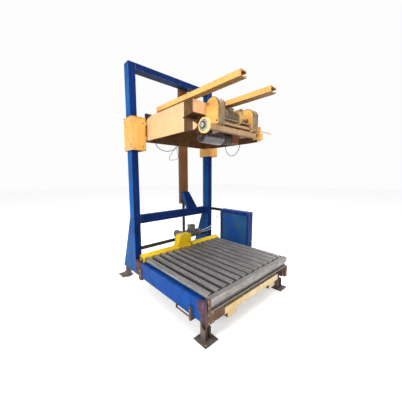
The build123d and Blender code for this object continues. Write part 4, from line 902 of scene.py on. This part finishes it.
def cabinet_pieces():
    """The worn panel that faces the conveyor, and the screws and cable clamps of the cabinet."""
    panel = Detail("cabinet_panel", "frame", "cabinet_paint", cabinet_panel)
    panel.block((CABINET_FACE - 4.0, CABINET_FACE + 0.5), (-321, 221), (443, 961), 1.5)
    panel.place()
    details = Detail("cabinet_details", "frame", "chain_steel", zinc)
    for screw_y in (-345, -50, 245):
        for screw_z in (414, 1002):
            details.lathe((CABINET_FRAME_FACE, screw_y, screw_z), LEFT, PANEL_SCREW, 16)
    for clamp_z in (430, 470, 520):
        details.block((900, 924), (CABINET_FRONT - 16, CABINET_FRONT), (clamp_z, clamp_z + 22), 2.0)
        details.disc((912, CABINET_FRONT - 16, clamp_z + 11), FORWARD, 6, 12)
    details.place()


def door_details():
    """The lock and the corner screws of the cabinet door."""
    details = Detail("door_details", "door", "chain_steel", zinc)
    details.disc((DOOR_FACE, LOCK_Y, LOCK_Z), RIGHT, 14, 8)
    details.disc((DOOR_FACE + 8, LOCK_Y, LOCK_Z), RIGHT, 8, 4)
    for screw_z in (440, 980):
        for screw_y in (-340, 236):
            details.lathe((DOOR_FACE, screw_y, screw_z), RIGHT, PANEL_SCREW, 16)
    details.place()


# ---- Detail pieces on the carriage ----

def sleeve_bolts():
    """Bolts of the two sleeves, the wheel axle ends, and the bolts and screws on the head."""
    bolts = Detail("sleeve_bolts", "carriage", "chain_steel", zinc)
    for side in SIDES:
        for bolt_z in (2026, 2374):
            for bolt_x in (664, 796):
                if (bolt_x, bolt_z) != (664, 2026):
                    bolts.bolt((side * bolt_x, SLEEVE_FRONT, bolt_z), FORWARD, 8)
        for bolt_z in (2040, 2390):
            for bolt_y in (390, 580):
                bolts.bolt((side * SLEEVE_OUTER, bolt_y, bolt_z), (side, 0, 0), 7)
        bolts.disc((side * SLEEVE_OUTER, GUIDE_WHEEL_Y, GUIDE_WHEEL_Z), (side, 0, 0), 16, 6)
    for channel_x in (-580, -85):
        for bolt_y in (-380, -120, 30):
            bolts.bolt((channel_x, bolt_y, CHANNEL_TOP), UP, 8)
    for screw_y in (-330, -300, -250, -212):
        bolts.lathe((HEAD_LEFT, screw_y, 2392), LEFT, PLATE_SCREW, 14)
    bolts.place()


def carriage_welds():
    """Seams between the sleeves and the head, and along the channels on top of it."""
    welds = Detail("carriage_welds", "carriage", "yellow_paint", yellow)
    for side in SIDES:
        for seam_z in (2160, 2200, 2352, 2392):
            welds.weld((side * SLEEVE_INNER, 374, seam_z), (side * SLEEVE_INNER, 490, seam_z), 2.6)
    for channel_x in (-540, -135, -35):
        welds.weld((channel_x, -580, HEAD_TOP), (channel_x, 60, HEAD_TOP), 3.0)
    welds.place()


def guard_rim(trim, wall_x):
    """A thin strip over the curved top of one wall of a drum guard."""
    radius = DRUM_GUARD_RADIUS + 1.5
    arc = []
    for step in range(19):
        angle = math.radians(25 + step * 155 / 18)
        arc.append((DRUM_Y + radius * math.cos(angle), DRUM_GUARD_ARC_Z + radius * math.sin(angle)))
    for (first_y, first_z), (second_y, second_z) in zip(arc, arc[1:]):
        heading = math.atan2(second_z - first_z, second_y - first_y)
        length = math.hypot(second_z - first_z, second_y - first_y)
        middle = (wall_x + 5, (first_y + second_y) / 2, (first_z + second_z) / 2)
        trim.slab(Matrix.Translation(middle) @ Matrix.Rotation(heading, 4, "X"), (10, length + 1.0, 2.6))


def drum_guard_trim():
    """Rim strips and side bolts of the two drum guards."""
    trim = Detail("drum_guard_trim", "carriage", "chain_steel", fastener_dark)
    for left_x in DRUM_GUARD_LEFTS:
        guard_rim(trim, left_x + 1.0)
        guard_rim(trim, left_x + 99.0)
        for bolt_y, bolt_z in ((-630, 2240), (-640, 2440), (-775, 2240)):
            trim.bolt((left_x, bolt_y, bolt_z), LEFT, 6)
    trim.place()


def head_motor_pieces():
    """The yellow flange of the head motor with its two lugs, then its fins, cover and end ring."""
    flange = Detail("head_motor_flange", "carriage", "yellow_paint", hub_yellow)
    flange.ring((HEAD_MOTOR_FLANGE, DRUM_Y, DRUM_Z), RIGHT, 94, 18, 12)
    flange.block((45, 60), (-792, -740), (2372, 2434), 3.0)
    flange.block((HEAD_MOTOR_FLANGE, 62), (-778, -720), (2428, 2446), 4.0)
    flange.place()
    motor = Detail("head_motor_fins", "carriage", "bronze_paint", bronze)
    motor.fins((-90, DRUM_Y, DRUM_Z), "X", 53.5, (190, 2.2, 8), 24, lowest=-0.70, highest=0.80)
    motor.block((-146, -54), (-740, -660), (2428, 2436), 2.0)
    motor.ring((HEAD_MOTOR_LEFT, DRUM_Y, DRUM_Z), RIGHT, 58, 17, 44, 2.0)
    motor.place()


def spindle_pieces():
    """The yellow flange and the pale bolted hub on the end of the front spindle."""
    flange = Detail("spindle_flange", "front_spindle", "yellow_paint", hub_yellow)
    flange.ring((-567, SPINDLE_Y, SPINDLE_Z), RIGHT, 80, 59, 34, 3.0, 56)
    flange.place()
    hub = Detail("spindle_hub", "front_spindle", "chain_steel", pale_metal)
    hub.disc((-556, SPINDLE_Y, SPINDLE_Z), LEFT, 54, 14, 2.0, 40)
    hub.disc((-576, SPINDLE_Y, SPINDLE_Z), LEFT, 24, 10, 2.0, 28)
    hub.bolt_circle((-570, SPINDLE_Y, SPINDLE_Z), 41, 5, 5, turn=0.3)
    hub.place()


def reel_core_rings():
    """The end of the film's core, showing at both sides of the reel."""
    rings = Detail("reel_core_rings", "film_reel", "yellow_paint", hub_yellow)
    for end_x, heading in ((-236, LEFT), (146, RIGHT)):
        rings.ring((end_x, REEL_Y, REEL_Z), heading, 37, 16, 3.0, 0.8)
    rings.place()


def brake_unit_shell():
    """Two raised bands round the film brake and a circle of bolts on its face."""
    shell = Detail("brake_unit_shell", "carriage", "bearing_iron", cast)
    shell.ring((200, REEL_Y, REEL_Z), RIGHT, 70, 60, 34, 3.0)
    shell.ring((246, REEL_Y, REEL_Z), RIGHT, 67, 60, 60, 3.0)
    shell.bolt_circle((186, REEL_Y, REEL_Z), 48, 8, 4.5)
    shell.place()


def junction_box_lid():
    """The lid of the junction box with a screw in each corner."""
    lid = Detail("junction_box_lid", "carriage", "black_plastic", black_plastic)
    lid.block((-542, -438), (JUNCTION_BOX_BACK - 6, JUNCTION_BOX_BACK), (2374, 2558), 1.5)
    for corner_x in (-532, -448):
        for corner_z in (2386, 2546):
            lid.lathe((corner_x, JUNCTION_BOX_BACK, corner_z), BACKWARD, LID_SCREW, 14)
    lid.place()


def carrier_pins():
    """A pin head on both sides of each link of the cable carrier."""
    pins = Detail("carrier_pins", "frame", "black_plastic", black_plastic)
    for link in range(CARRIER_LINKS):
        pin_z = CARRIER_BOTTOM + link * CARRIER_PITCH + 16
        pins.disc((CARRIER_X - 24, CARRIER_Y, pin_z), LEFT, 7, 2.4)
        pins.disc((CARRIER_X + 24, CARRIER_Y, pin_z), RIGHT, 7, 2.4)
    pins.place()


# Bolts and welds draw random numbers, so this order is part of the design.
lift_chain_links()
roller_chain_links()
frame_bolts()
shade_sheet_under_rollers()
guard_screws()
frame_welds()
foot_welds()
conveyor_motor_details()
lift_motor_details()
cabinet_pieces()
door_details()
sleeve_bolts()
carriage_welds()
drum_guard_trim()
head_motor_pieces()
spindle_pieces()
reel_core_rings()
brake_unit_shell()
junction_box_lid()
carrier_pins()


# ---- Softened edges of the plain CAD pieces ----

ROUNDED = [
    "left_post", "right_post", "top_beam", "mid_beam", "post_gussets", "base_beams",
    "rear_cross_beam", "front_cross_beam", "beam_brackets", "feet", "front_rail", "rear_rail",
    "roller_guard", "left_sleeve", "right_sleeve", "head_housing", "head_channels", "cabinet_shell",
    "cabinet_door", "cabinet_rail", "cable_column", "cable_carrier", "junction_box", "front_bar",
    "end_bracket", "conveyor_gearmotor",
]
for name in ROUNDED:
    soften = nodes[name].modifiers.new("soft_edges", "BEVEL")
    soften.width = 0.0022
    soften.segments = 2
    soften.limit_method = "ANGLE"
    soften.angle_limit = math.radians(50)
    soften.use_clamp_overlap = True

# ---- Stage ----

FLOOR_REACH = 30
corners = [(x * FLOOR_REACH, y * FLOOR_REACH, 0) for x, y in ((-1, -1), (1, -1), (1, 1), (-1, 1))]
floor_mesh = bpy.data.meshes.new("floor")
floor_mesh.from_pydata(corners, [], [(0, 1, 2, 3)])
floor = bpy.data.objects.new("floor", floor_mesh)
bpy.context.scene.collection.objects.link(floor)
floor_look = Paint("floor_pale")
floor_shade = floor_look.mix(floor_look.noise(0.7, 3.0), (0.90, 0.90, 0.90), (0.94, 0.94, 0.94))
floor_mesh.materials.append(floor_look.finish(floor_shade, 0.8))
floor_look.shader.inputs["Emission Color"].default_value = (1.0, 1.0, 1.0, 1.0)
floor_look.shader.inputs["Emission Strength"].default_value = 0.42

# The surroundings are brighter behind the object than on the camera's side.
world = bpy.data.worlds.new("studio")
bpy.context.scene.world = world
world.use_nodes = True
world_nodes = world.node_tree.nodes
world_links = world.node_tree.links
direction = world_nodes.new("ShaderNodeTexCoord").outputs["Generated"]
toward = world_nodes.new("ShaderNodeVectorMath")
toward.operation = "DOT_PRODUCT"
world_links.new(direction, toward.inputs[0])
toward.inputs[1].default_value = (0.67, 0.74, 0.0)
brighter = world_nodes.new("ShaderNodeMapRange")
brighter.interpolation_type = "SMOOTHSTEP"
brighter.inputs["From Min"].default_value = -0.1
brighter.inputs["From Max"].default_value = 0.55
brighter.inputs["To Min"].default_value = 0.30
brighter.inputs["To Max"].default_value = 0.98
world_links.new(toward.outputs["Value"], brighter.inputs["Value"])
world_links.new(brighter.outputs["Result"], world_nodes["Background"].inputs["Strength"])
world_nodes["Background"].inputs["Color"].default_value = (1.0, 1.0, 1.0, 1.0)


def area_light(name, place, target, size, power, color=(1.0, 1.0, 1.0)):
    """A square soft light that points at a target."""
    data = bpy.data.lights.new(name, "AREA")
    data.shape = "SQUARE"
    data.size = size
    data.energy = power
    data.color = color
    light = bpy.data.objects.new(name, data)
    light.location = place
    light.rotation_mode = "QUATERNION"
    light.rotation_quaternion = (Vector(target) - Vector(place)).to_track_quat("-Z", "Y")
    bpy.context.scene.collection.objects.link(light)


area_light("key", (-6.5, -0.9, 4.6), (0.0, 0.0, 1.4), 3.2, 310.0, (1.0, 0.98, 0.95))
area_light("front_fill", (-1.0, -6.0, 3.0), (0.0, 0.0, 1.3), 4.0, 130.0)
area_light("top", (0.5, -0.5, 7.0), (0.2, -0.2, 0.5), 4.0, 420.0)
bpy.context.scene.view_settings.view_transform = "Standard"
bpy.context.scene.view_settings.gamma = 0.90

# ---- Last update of the scene ----

bpy.context.view_layer.update()
